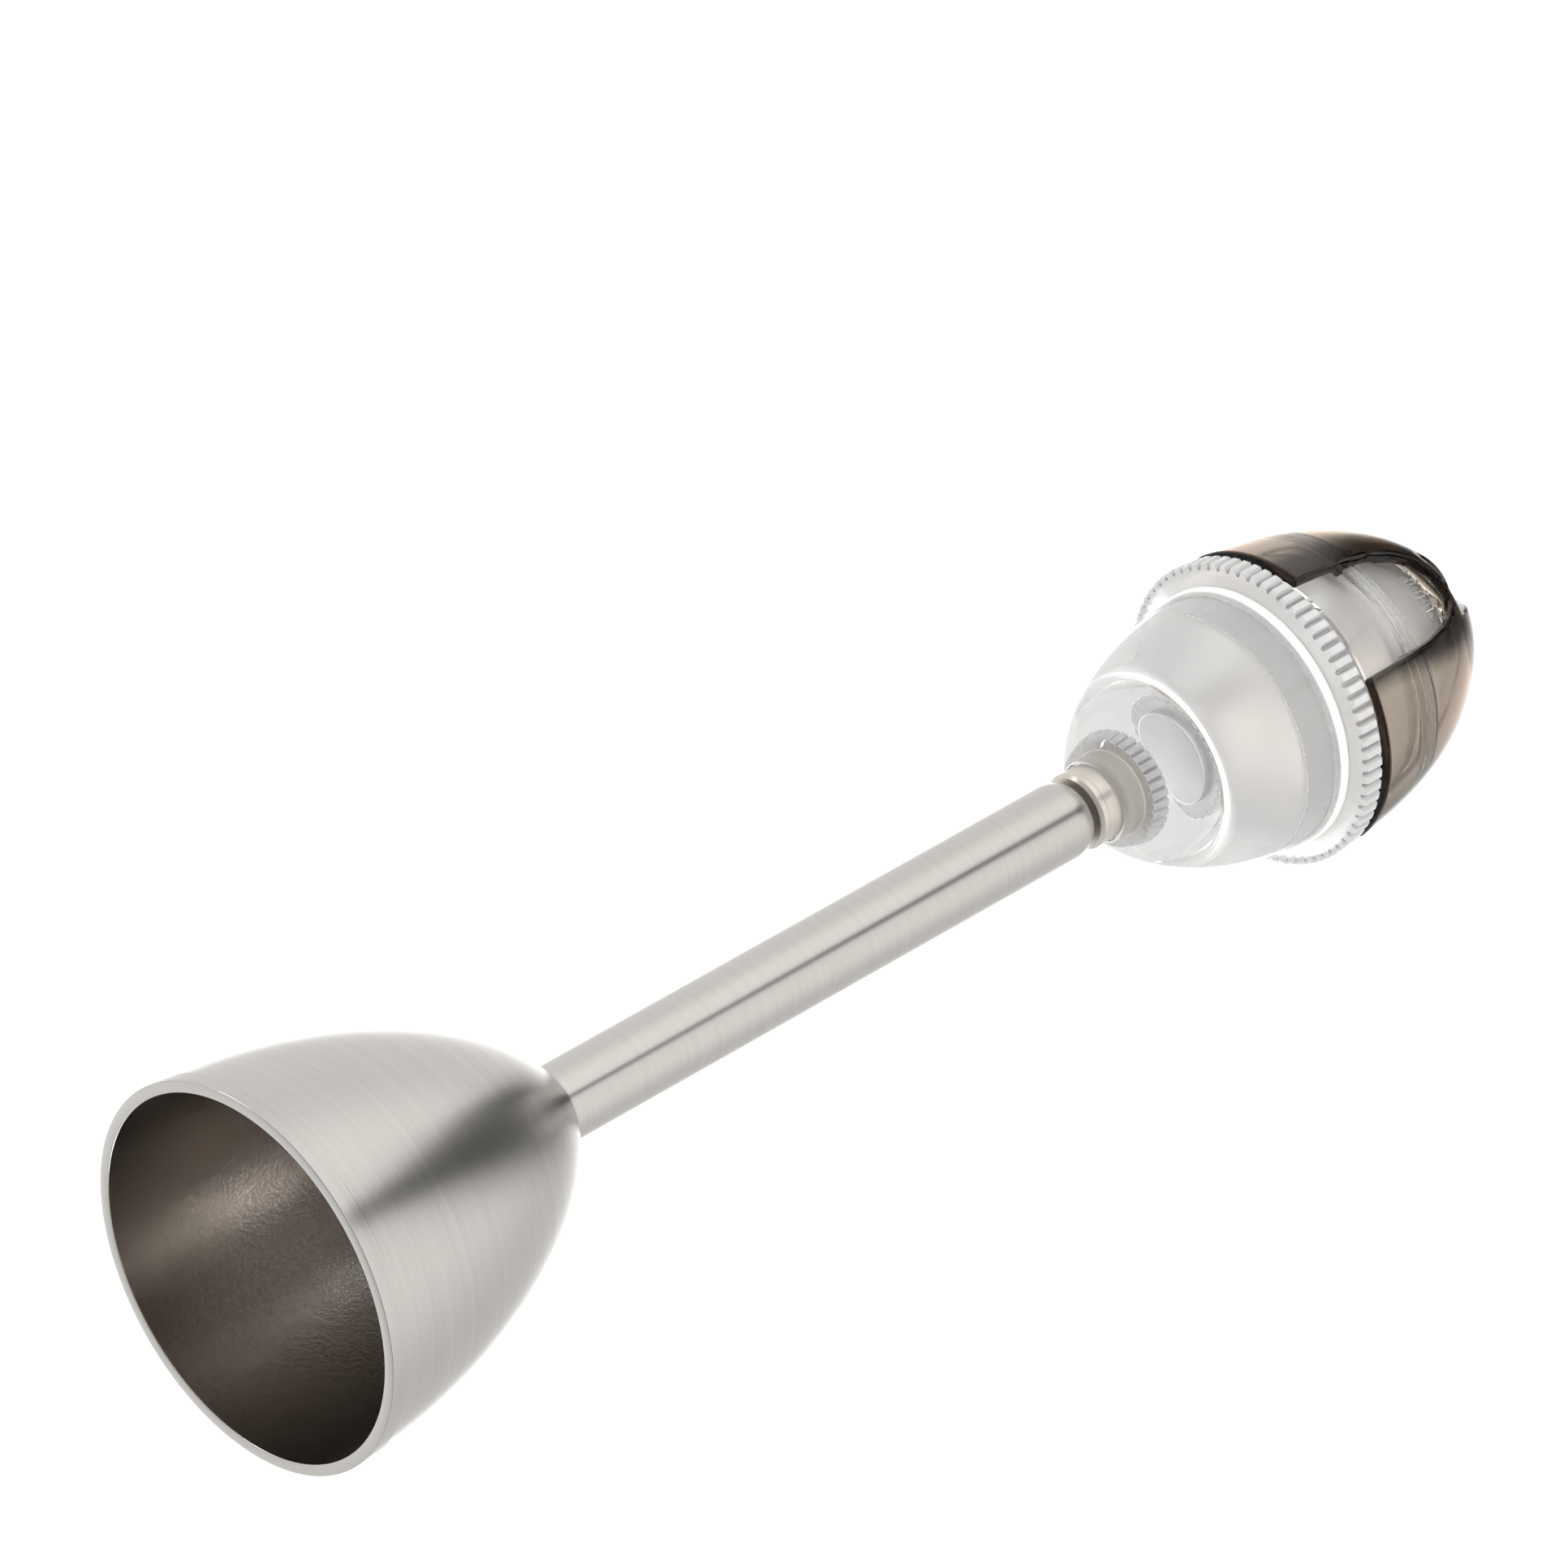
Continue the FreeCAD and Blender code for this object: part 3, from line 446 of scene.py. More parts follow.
CUP_OUTSIDE = brushed_metal("cup_steel_brushed", dark=(0.50, 0.485, 0.465), light=(0.66, 0.645, 0.62),
                            rough=0.255, anisotropy=0.75, depth=0.000014)
CUP_INSIDE = grained_metal("cup_steel_inside", dark=(0.30, 0.275, 0.25), light=(0.50, 0.465, 0.43),
                           rough=0.225, grain=3200.0, depth=0.00008)
CUP_RIM = brushed_metal("cup_rim_turned", dark=(0.52, 0.51, 0.49), light=(0.64, 0.63, 0.61),
                        rough=0.31, anisotropy=0.3, depth=0.000006)
TUBE_STEEL = brushed_metal("tube_steel_brushed", dark=(0.53, 0.515, 0.49), light=(0.67, 0.655, 0.63),
                           rough=0.25, anisotropy=0.7, depth=0.000010)
COLLAR_METAL = brushed_metal("collar_nickel_satin", dark=(0.66, 0.625, 0.57), light=(0.79, 0.75, 0.69),
                             rough=0.32, anisotropy=0.4, depth=0.000005)
# Paler, neutral copy of the collar's nickel for its knurl and end inside the bowl: partly a faced finish,
# partly painted light that keeps the embedded metal bright.
COLLAR_END_LIGHTENED = grained_metal("collar_nickel_faced_painted_light", dark=(0.70, 0.70, 0.70), light=(0.84, 0.84, 0.85),
                           rough=0.34, grain=900.0, depth=0.00001)
PLAIN_STEEL = grained_metal("plain_steel_turned", dark=(0.52, 0.51, 0.50), light=(0.64, 0.63, 0.62),
                            rough=0.34, grain=700.0, depth=0.00001)
SPRING_STEEL = grained_metal("spring_steel_drawn", dark=(0.34, 0.34, 0.35), light=(0.46, 0.46, 0.47),
                             rough=0.34, grain=500.0, depth=0.00001)
BUSH_PLASTIC = grained_metal("bush_moulded", dark=(0.78, 0.78, 0.75), light=(0.86, 0.86, 0.83),
                             rough=0.45, grain=400.0, depth=0.00002, metallic=0.0)
CLEAR = clear_plastic("clear_moulding", colour=(1.0, 1.0, 1.0), haze=0.02)
# The gap colour is painted shade between the ring's teeth.
CLEAR_TEETH = toothed_plastic("clear_moulding_teeth", gap=(0.52, 0.52, 0.53), tip=(1.0, 1.0, 1.0),
                              haze=0.16, through=0.6)
CLEAR_SATIN = clear_plastic("clear_moulding_satin", colour=(0.99, 0.99, 0.99), haze=0.58, through=0.6)
CLEAR_FROSTED = clear_plastic("clear_moulding_frosted", colour=(1.0, 0.995, 0.985), haze=0.6, through=0.6)
# Its darkest colour is painted shade, laid beside the windows, on the foot's end and in the arches.
SMOKE = smoke_plastic("smoke_moulding", pale=(1.0, 1.0, 1.0), painted_shade=(0.03, 0.024, 0.018),
                      absorb=(0.42, 0.22, 0.0), density=290.0)
SEAL = milky_plastic("seal_silicone_white", colour=(0.97, 0.97, 0.96), rough=0.45, through=0.1)


# ---------------------------------------------------------------- profile helpers
def bell(full, height):
    """Radius of a spun bell at a height above its widest circle."""
    share = 1.0 - (height / full[1]) ** full[2]
    return full[0] * max(share, 0.0) ** (1.0 / full[3])


def bell_height(full, radius):
    """Height above its widest circle at which a bell has a radius."""
    return full[1] * (1.0 - (radius / full[0]) ** full[3]) ** (1.0 / full[2])


def bell_run(full, first, last, datum=0.0, direction=1, steps=48):
    """Points along a bell between two heights, closer together where it turns fast."""
    turn_first = math.acos(min(1.0, first / full[1]))
    turn_last = math.acos(min(1.0, last / full[1]))
    run = []
    for step in range(steps + 1):
        height = full[1] * math.cos(turn_first + (turn_last - turn_first) * step / steps)
        run.append((bell(full, height), datum + direction * height))
    return run


def dome_run(full, low, high, steps):
    """Points up the shaker's dome between two levels."""
    return bell_run(full, low - DOME_DATUM, high - DOME_DATUM, DOME_DATUM, 1, steps)


def rounded(points, steps=6):
    """Path with its marked corners rounded. A point is (r, z) or (r, z, radius)."""
    path = []
    count = len(points)
    for number, point in enumerate(points):
        if len(point) < 3:
            path.append((point[0], point[1]))
            continue
        here = Vector(point[:2])
        before = Vector(points[number - 1][:2]) - here
        after = Vector(points[(number + 1) % count][:2]) - here
        half = before.angle(after) / 2.0
        reach = min(point[2] / math.tan(half), before.length * 0.49, after.length * 0.49)
        radius = reach * math.tan(half)
        first = here + before.normalized() * reach
        last = here + after.normalized() * reach
        centre = here + (before.normalized() + after.normalized()).normalized() * (radius / math.sin(half))
        start = first - centre
        sweep = start.angle_signed(last - centre)
        for step in range(steps + 1):
            turned = start.copy()
            turned.rotate(Matrix.Rotation(-sweep * step / steps, 2))
            path.append(tuple(centre + turned))
    return path


def finish_mesh(bm, name, material, sharp=35.0):
    bmesh.ops.remove_doubles(bm, verts=bm.verts, dist=WELD * MM)
    bmesh.ops.recalc_face_normals(bm, faces=bm.faces)
    mesh = bpy.data.meshes.new(name)
    for face in bm.faces:
        face.smooth = True
    bm.to_mesh(mesh)
    bm.free()
    mesh.materials.append(material)
    mesh.set_sharp_from_angle(angle=math.radians(sharp))
    piece = bpy.data.objects.new(name, mesh)
    bpy.context.scene.collection.objects.link(piece)
    return piece


def spin_outline(bm, path, closed, steps, start=0.0, sweep=TURN):
    """Turn a half section about Z from an azimuth on; gives the vertices that it makes."""
    before = set(bm.verts)
    corners = [bm.verts.new((radius * MM, 0.0, level * MM)) for radius, level in path]
    ends = corners[1:] + corners[:1] if closed else corners[1:]
    wire = corners + [bm.edges.new(pair) for pair in zip(corners, ends)]
    bmesh.ops.rotate(bm, verts=corners, cent=(0, 0, 0), matrix=Matrix.Rotation(start, 3, "Z"))
    bmesh.ops.spin(bm, geom=wire, cent=(0, 0, 0), axis=(0, 0, 1), dvec=(0, 0, 0), angle=sweep, steps=steps,
                   use_merge=sweep == TURN, use_normal_flip=False, use_duplicate=False)
    return [vert for vert in bm.verts if vert not in before]


def move_out(verts, reach):
    """Give each vertex the radius that reach(radius, level, azimuth) says, in millimetres."""
    for vert in verts:
        radius = math.hypot(vert.co.x, vert.co.y)
        if radius < 0.001 * MM:
            continue
        wanted = reach(radius / MM, vert.co.z / MM, math.atan2(vert.co.y, vert.co.x)) * MM
        vert.co.x *= wanted / radius
        vert.co.y *= wanted / radius


def turned(name, path, material, steps=256, closed=True, sharp=35.0, reach=None):
    bm = bmesh.new()
    verts = spin_outline(bm, path, closed, steps)
    if reach:
        move_out(verts, reach)
    return finish_mesh(bm, name, material, sharp)


def paint_faces(piece, material, chosen):
    """Give a material to the faces for which chosen(radius, level, outward, up) holds."""
    mesh = piece.data
    mesh.materials.append(material)
    number = len(mesh.materials) - 1
    for face in mesh.polygons:
        centre = face.center
        radius = math.hypot(centre.x, centre.y)
        outward = (face.normal.x * centre.x + face.normal.y * centre.y) / max(radius, 1e-9)
        if chosen(radius / MM, centre.z / MM, outward, face.normal.z):
            face.material_index = number


def bake(piece, sharp):
    """Turn a piece's modifiers into its mesh."""
    graph = bpy.context.evaluated_depsgraph_get()
    made = bpy.data.meshes.new_from_object(piece.evaluated_get(graph))
    piece.modifiers.clear()
    piece.data = made
    made.set_sharp_from_angle(angle=math.radians(sharp))


def adopt(piece, body, node):
    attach(piece, body)
    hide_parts(node)


# ---------------------------------------------------------------- cup
CUP_INNER = (CUP_FULL[0] - CUP_WALL, CUP_FULL[1] - CUP_CROWN_WALL, CUP_FULL[2], CUP_FULL[3])


def make_cup():
    neck = bell_height(CUP_FULL, TUBE_RADIUS + FACE_GAP)
    outer = bell_run(CUP_FULL, CUP_BEAD_HEIGHT + 0.05, neck)
    inner = bell_run(CUP_INNER, CUP_CROWN, 0.15)
    lip = rounded([
        (CUP_INNER[0] - 0.01, 0.14),
        (CUP_INNER[0] + 0.01, 0.0, 0.06),
        (CUP_BEAD_RADIUS, 0.0, 0.08),
        (CUP_BEAD_RADIUS, CUP_BEAD_HEIGHT, 0.06),
        (outer[0][0], CUP_BEAD_HEIGHT + 0.04),
    ])[1:-1]
    path = lip + outer + [(TUBE_RADIUS + 0.01, CUP_CROWN)] + inner
    piece = turned("cup_shell", path, CUP_OUTSIDE, steps=288)

    def inside(radius, level, outward, up):
        crown = abs(level - CUP_CROWN) < 0.05 and radius > TUBE_RADIUS + 0.1
        return crown or (outward < 0.0 and radius < bell(CUP_FULL, min(level, CUP_FULL[1])) - 0.3)
    paint_faces(piece, CUP_INSIDE, inside)
    paint_faces(piece, CUP_RIM, lambda radius, level, outward, up: level < 0.1 and up < -0.5)
    adopt(piece, "cup", "bell_cup")


# ---------------------------------------------------------------- tube and collar
def make_tube():
    path = rounded([
        (TUBE_BORE, CUP_CROWN),
        (TUBE_RADIUS, CUP_CROWN),
        (TUBE_RADIUS, TUBE_TOP - 2.1),
        (TUBE_RADIUS - 0.06, TUBE_TOP - 1.5),
        (TUBE_RADIUS - 0.22, TUBE_TOP - 0.7),
        (TUBE_RADIUS - 0.5, TUBE_TOP - 0.08, 0.2),
        (TUBE_RADIUS - 0.9, TUBE_TOP),
        (TUBE_OPENING, TUBE_TOP, 0.1),
        (TUBE_OPENING, TUBE_TOP - TUBE_LIP),
        (TUBE_BORE - TUBE_BORE_STEP, TUBE_TOP - TUBE_LIP),
        (TUBE_BORE - TUBE_BORE_STEP, TUBE_TOP - 1.7),
        (TUBE_BORE, TUBE_TOP - 2.4),
    ])
    adopt(turned("tube_shell", path, TUBE_STEEL, steps=160, sharp=50.0), "cup", "guide_tube")


def make_spring():
    """Coiled wire, its ends ground flat; the handle's pull presses it up against its upper washer."""
    length = SPRING_TOP - SPRING_BOTTOM
    steps = SPRING_TURNS * 32
    bm = bmesh.new()
    wire = bmesh.ops.create_circle(bm, cap_ends=False, segments=12, radius=SPRING_WIRE * MM)["verts"]
    bmesh.ops.rotate(bm, verts=wire, cent=(0, 0, 0), matrix=Matrix.Rotation(math.radians(90.0), 3, "X"))
    bmesh.ops.translate(bm, verts=wire, vec=(SPRING_COIL * MM, 0.0, SPRING_BOTTOM * MM))
    bmesh.ops.spin(bm, geom=wire + bm.edges[:], cent=(0, 0, 0), axis=(0, 0, 1),
                   dvec=(0, 0, length / steps * MM), angle=SPRING_TURNS * TURN, steps=steps,
                   use_merge=False, use_normal_flip=False, use_duplicate=False)
    bmesh.ops.holes_fill(bm, edges=bm.edges, sides=0)
    for level, outward in ((SPRING_BOTTOM, -1), (SPRING_TOP, 1)):
        bmesh.ops.bisect_plane(bm, geom=bm.verts[:] + bm.edges[:] + bm.faces[:], dist=WELD * MM,
                               plane_co=(0, 0, level * MM), plane_no=(0, 0, outward), clear_outer=True)
        bmesh.ops.holes_fill(bm, edges=bm.edges, sides=0)
    piece = finish_mesh(bm, "spring_coil", SPRING_STEEL)
    adopt(piece, "cup", "drive_spring")
    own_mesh(piece)


def make_collar():
    path = rounded([
        (0.0, ROD_TOP),
        (ROD_RADIUS, ROD_TOP),
        (ROD_RADIUS, COLLAR_LEVEL),
        (COLLAR_FRONT_RADIUS - COLLAR_FRONT_BEVEL, COLLAR_LEVEL, 0.06),
        (COLLAR_FRONT_RADIUS, COLLAR_LEVEL + COLLAR_FRONT_BEVEL, 0.12),
        (COLLAR_FRONT_RADIUS, COLLAR_LEVEL + COLLAR_FRONT_LENGTH, 0.04),
        (COLLAR_RADIUS, COLLAR_LEVEL + COLLAR_FRONT_LENGTH + 0.1, 0.03),
        (COLLAR_RADIUS, GROOVE_LEVEL, 0.1),
        (GROOVE_RADIUS, GROOVE_LEVEL + 0.15, 0.1),
        (GROOVE_RADIUS, KNURL_LEVEL, 0.1),
        (KNURL_RADIUS, KNURL_LEVEL, 0.15),
        (KNURL_RADIUS, KNURL_TOP, 0.15),
        (TAIL_RADIUS, KNURL_TOP),
        (TAIL_RADIUS, COLLAR_TOP, 0.15),
        (0.0, COLLAR_TOP),
    ])

    def teeth(radius, level, azimuth):
        if radius < COLLAR_RADIUS + 0.15 or level < KNURL_LEVEL - 0.01:
            return radius
        away = abs(azimuth * KNURL_COUNT / TURN % 1.0 - 0.5) * 2.0
        return radius - KNURL_DEPTH * max(0.0, 1.0 - away / KNURL_GAP_SHARE)
    piece = turned("collar_sleeve", path, COLLAR_METAL, steps=KNURL_COUNT * 12, closed=False, reach=teeth)
    # The knurl and the end take the paler copy, which is a faced finish and also painted light.
    paint_faces(piece, COLLAR_END_LIGHTENED, lambda radius, level, outward, up: level > KNURL_LEVEL - 0.25)
    adopt(piece, "handle", "collar")


# ---------------------------------------------------------------- clear bowl
def make_bowl():
    """The plastic lies hard on the collar, so its pocket is drawn a hair inside the metal."""
    sunk = FIT_GAP
    entry = bell_height(BOWL_FULL, NOSE_RADIUS)
    outer = bell_run(BOWL_FULL, entry, BOWL_DATUM - BOWL_LIP, BOWL_DATUM, -1, 56)
    pocket = [
        (0.0, COLLAR_TOP - sunk),
        (TAIL_RADIUS - sunk, COLLAR_TOP - sunk),
        (TAIL_RADIUS - sunk, KNURL_TOP - sunk),
        (KNURL_RADIUS - KNURL_DEPTH - sunk, KNURL_TOP - sunk),
        (KNURL_RADIUS - KNURL_DEPTH - sunk, KNURL_LEVEL + sunk),
        (GROOVE_RADIUS - sunk, KNURL_LEVEL + sunk),
        (GROOVE_RADIUS - sunk, GROOVE_LEVEL + 0.1),
        (COLLAR_RADIUS - sunk, GROOVE_LEVEL - sunk),
    ]
    nose = rounded([
        pocket[-1],
        (COLLAR_RADIUS - sunk, outer[0][1] + NOSE_RECESS),
        (outer[0][0], outer[0][1], 0.12),
        outer[1],
    ])[1:-1]
    inside = rounded([
        outer[-2],
        (outer[-1][0], BOWL_LIP, 0.15),
        (SOCKET_RADIUS, BOWL_LIP, 0.15),
        (SOCKET_RADIUS, SOCKET_LEVEL, 0.15),
        (SOCKET_RADIUS - 0.3, SOCKET_LEVEL, 0.12),
        (FLOOR_RADIUS, FLOOR_LEVEL, 1.6),
        (0.0, FLOOR_LEVEL),
    ], steps=10)[1:]
    piece = turned("bowl_moulding", pocket + nose + outer[1:-1] + inside, CLEAR, closed=False)

    def cavity(radius, level, outward, up):
        return level > FLOOR_LEVEL + 0.3 and radius < SOCKET_RADIUS + 0.05 and outward < -0.6
    paint_faces(piece, CLEAR_SATIN, cavity)
    adopt(piece, "handle", "salt_bowl")


# ---------------------------------------------------------------- upper half of the shaker
def make_seal():
    path = rounded([
        (NECK_RADIUS + FIT_GAP, BOWL_LIP + FACE_GAP),
        (SEAL_RADIUS, BOWL_LIP + FACE_GAP, 0.25),
        (SEAL_RADIUS, RING_BOTTOM - FACE_GAP, 0.25),
        (NECK_RADIUS + FIT_GAP, RING_BOTTOM - FACE_GAP),
    ])
    adopt(turned("seal_band", path, SEAL, steps=192), "shaker_top", "seal_ring")


def make_ring():
    path = rounded([
        (RING_BORE, NECK_BOTTOM, 0.2),
        (NECK_RADIUS, NECK_BOTTOM, 0.3),
        (NECK_RADIUS, RING_BOTTOM, 0.1),
        (RING_ROOT, RING_BOTTOM),
        (RING_TIP, RING_BOTTOM, 0.35),
        (RING_TIP, RING_TOP, 0.55),
        (RING_ROOT, RING_TOP),
        (SPIGOT_RADIUS - FIT_GAP, RING_TOP, 0.05),
        (SPIGOT_RADIUS - FIT_GAP, SPIGOT_TOP, 0.2),
        (RING_BORE, SPIGOT_TOP, 0.2),
    ])

    def teeth(radius, level, azimuth):
        if radius <= RING_ROOT:
            return radius
        away = abs(azimuth * RING_TEETH / TURN % 1.0 - 0.5) * 2.0
        gap = max(0.0, min(1.0, (RING_GAP_SHARE - away) / RING_FLANK_SHARE))
        return radius - (radius - RING_ROOT) * gap * gap * (3.0 - 2.0 * gap)
    piece = turned("ring_moulding", path, CLEAR_TEETH, steps=RING_TEETH * 12, reach=teeth, sharp=50.0)

    def satin(radius, level, outward, up):
        return radius < RING_BORE + 0.1 or abs(up) > 0.8
    paint_faces(piece, CLEAR_SATIN, satin)
    adopt(piece, "shaker_top", "knurled_ring")


def make_chamber():
    foot = RING_TOP + FACE_GAP
    start = RING_TOP + CHAMBER_STRAIGHT
    steps = 12
    bulge = []
    for step in range(steps + 1):
        share = step / steps
        radius = CHAMBER_FOOT + (CHAMBER_TOP_RADIUS - CHAMBER_FOOT) * share
        radius += 4.0 * CHAMBER_BULGE * share * (1.0 - share)
        bulge.append((radius, start + (RIB_BOTTOM - start) * share))
    path = rounded([
        (SPIGOT_RADIUS, foot),
        (CHAMBER_FOOT, foot, 0.15),
        *bulge,
        (RIB_RADIUS, RIB_BOTTOM, 0.25),
        (RIB_RADIUS, RIB_TOP, 0.3),
        (CHAMBER_BORE + FIT_GAP, RIB_TOP, 0.08),
        (CHAMBER_BORE + FIT_GAP, RIB_TOP - CHAMBER_REBATE, 0.1),
        (SPIGOT_RADIUS, SPIGOT_TOP + 0.2),
    ])
    piece = turned("chamber_moulding", path, CLEAR)

    def inside(radius, level, outward, up):
        return level > SPIGOT_TOP and outward < -0.5
    paint_faces(piece, CLEAR_FROSTED, inside)
    adopt(piece, "shaker_top", "salt_chamber")


SIEVE_OUT = (DOME_FULL[0] - CAP_WALL - SIEVE_GAP, DOME_FULL[1] - CAP_CROWN_WALL - SIEVE_GAP, *DOME_FULL[2:])
SIEVE_IN = (SIEVE_OUT[0] - SIEVE_WALL, SIEVE_OUT[1] - SIEVE_WALL, *DOME_FULL[2:])


def make_sieve():
    ceiling = SIEVE_TOP - SIEVE_WALL
    outer = dome_run(SIEVE_OUT, SIEVE_RIM_LEVEL + 0.4, SIEVE_SHOULDER, 24)
    inner = dome_run(SIEVE_IN, ceiling - 0.9, SIEVE_RIM_LEVEL + 0.4, 24)
    path = rounded([
        (0.0, ceiling),
        (inner[0][0] - 0.6, ceiling, 0.6),
        *inner,
        (CHAMBER_BORE - SIEVE_WALL, RIB_TOP - SIEVE_SKIRT, 0.2),
        (CHAMBER_BORE, RIB_TOP - SIEVE_SKIRT, 0.2),
        (CHAMBER_BORE, RIB_TOP + FIT_GAP),
        (SIEVE_RIM, RIB_TOP + FIT_GAP, 0.15),
        (SIEVE_RIM, SIEVE_RIM_LEVEL, 0.2),
        *outer,
        (outer[-1][0] - 0.55, SIEVE_TOP - 0.45, 0.9),
        (SIEVE_TOP_RADIUS - 0.5, SIEVE_TOP),
        (0.0, SIEVE_TOP),
    ])
    piece = turned("sieve_moulding", path, CLEAR, steps=240, closed=False, sharp=40.0)
    cutters = bmesh.new()
    for middle in WINDOW_MIDDLES:
        for number in range(SIEVE_HOLES):
            angle = middle + SIEVE_HOLE_STEP * (number - (SIEVE_HOLES - 1) / 2.0)
            place = Matrix.Translation((SIEVE_HOLE_CIRCLE * math.cos(angle) * MM,
                                        SIEVE_HOLE_CIRCLE * math.sin(angle) * MM, SIEVE_HOLE_LEVEL * MM))
            bmesh.ops.create_cone(cutters, cap_ends=True, segments=28, radius1=SIEVE_HOLE_RADIUS * MM,
                                  radius2=SIEVE_HOLE_RADIUS * MM, depth=SIEVE_DRILL_LENGTH * MM,
                                  matrix=place)
    drill = finish_mesh(cutters, "sieve_drill", CLEAR)
    cut = piece.modifiers.new("holes", "BOOLEAN")
    cut.object = drill
    cut.operation = "DIFFERENCE"
    cut.solver = "EXACT"
    bake(piece, 40.0)
    bpy.data.objects.remove(drill)

    def inside(radius, level, outward, up):
        skin = bell(SIEVE_IN, min(level, SIEVE_TOP) - DOME_DATUM) + 0.2
        return level > RIB_TOP - SIEVE_SKIRT + 0.1 and radius < skin and up < 0.2
    paint_faces(piece, CLEAR_FROSTED, inside)
    adopt(piece, "shaker_top", "sieve_dome")


# ---------------------------------------------------------------- smoke cap
DOME_IN = (DOME_FULL[0] - CAP_WALL, DOME_FULL[1] - CAP_CROWN_WALL, *DOME_FULL[2:])
SIDE_SLOPE = math.tan(WINDOW_ANGLE / 2.0)
CORNER_SLOPE = WINDOW_CORNER / VALLEY_RADIUS
ROOF_LOW = (VALLEY_RADIUS - CAP_WALL, WINDOW_TOP - 0.2)
ROOF_HIGH = (1.2, VALLEY_TOP - CAP_CROWN_WALL)
ROOF_FALL = (ROOF_HIGH[0] - ROOF_LOW[0]) * (WINDOW_TOP - ROOF_LOW[1]) / (ROOF_HIGH[1] - ROOF_LOW[1])
ROOF_CUT = (ROOF_LOW[0] + ROOF_FALL, WINDOW_TOP)
SHOULDER_IN = WINDOW_TOP - 0.9


def dome_out(level):
    return bell(DOME_FULL, level - DOME_DATUM)


def dome_in(level):
    """Radius of the cap's inside, with the sloping corner below its roof."""
    if level <= SHOULDER_IN:
        return bell(DOME_IN, level - DOME_DATUM)
    share = min((level - SHOULDER_IN) / (ROOF_LOW[1] - SHOULDER_IN), 1.0)
    if share < 1.0:
        edge = bell(DOME_IN, SHOULDER_IN - DOME_DATUM)
        return edge + (ROOF_LOW[0] - edge) * share
    return ROOF_LOW[0] + (ROOF_CUT[0] - ROOF_LOW[0]) * (level - ROOF_LOW[1]) / (WINDOW_TOP - ROOF_LOW[1])


def window_end(skin, azimuth):
    """Level at which a window ends on a skin of the cap, at an azimuth from the window's middle."""
    along = (abs(math.tan(azimuth)) - SIDE_SLOPE + CORNER_SLOPE) / CORNER_SLOPE
    drop = WINDOW_ARCH * CORNER_SLOPE * (1.0 - math.sqrt(max(0.0, 1.0 - max(along, 0.0) ** 2)))
    level = WINDOW_TOP
    for _ in range(8):
        level = WINDOW_TOP - drop * skin(level) * math.cos(azimuth)
    return level


def soften(bm, width):
    """Round the outer edges of the windows and arms; the groove for the rib stays sharp."""
    edges = []
    for edge in bm.edges:
        if not edge.is_manifold or edge.calc_face_angle_signed() < math.radians(40.0):
            continue
        middle = (edge.verts[0].co + edge.verts[1].co) / 2.0
        radius = math.hypot(middle.x, middle.y) / MM
        level = middle.z / MM
        in_groove = CAP_BEAD_BOTTOM - 1.0 < level < RIB_TOP + 0.2 and radius < CAP_GROOVE + 0.6
        at_crown = level > WINDOW_TOP + 0.2 and (radius < 1.8 or level < WINDOW_TOP + 1.3)
        if not in_groove and not at_crown:
            edges.append(edge)
    bmesh.ops.bevel(bm, geom=edges, offset=width * MM, offset_type="OFFSET", segments=3, profile=0.5,
                    affect="EDGES", clamp_overlap=False, material=-1)


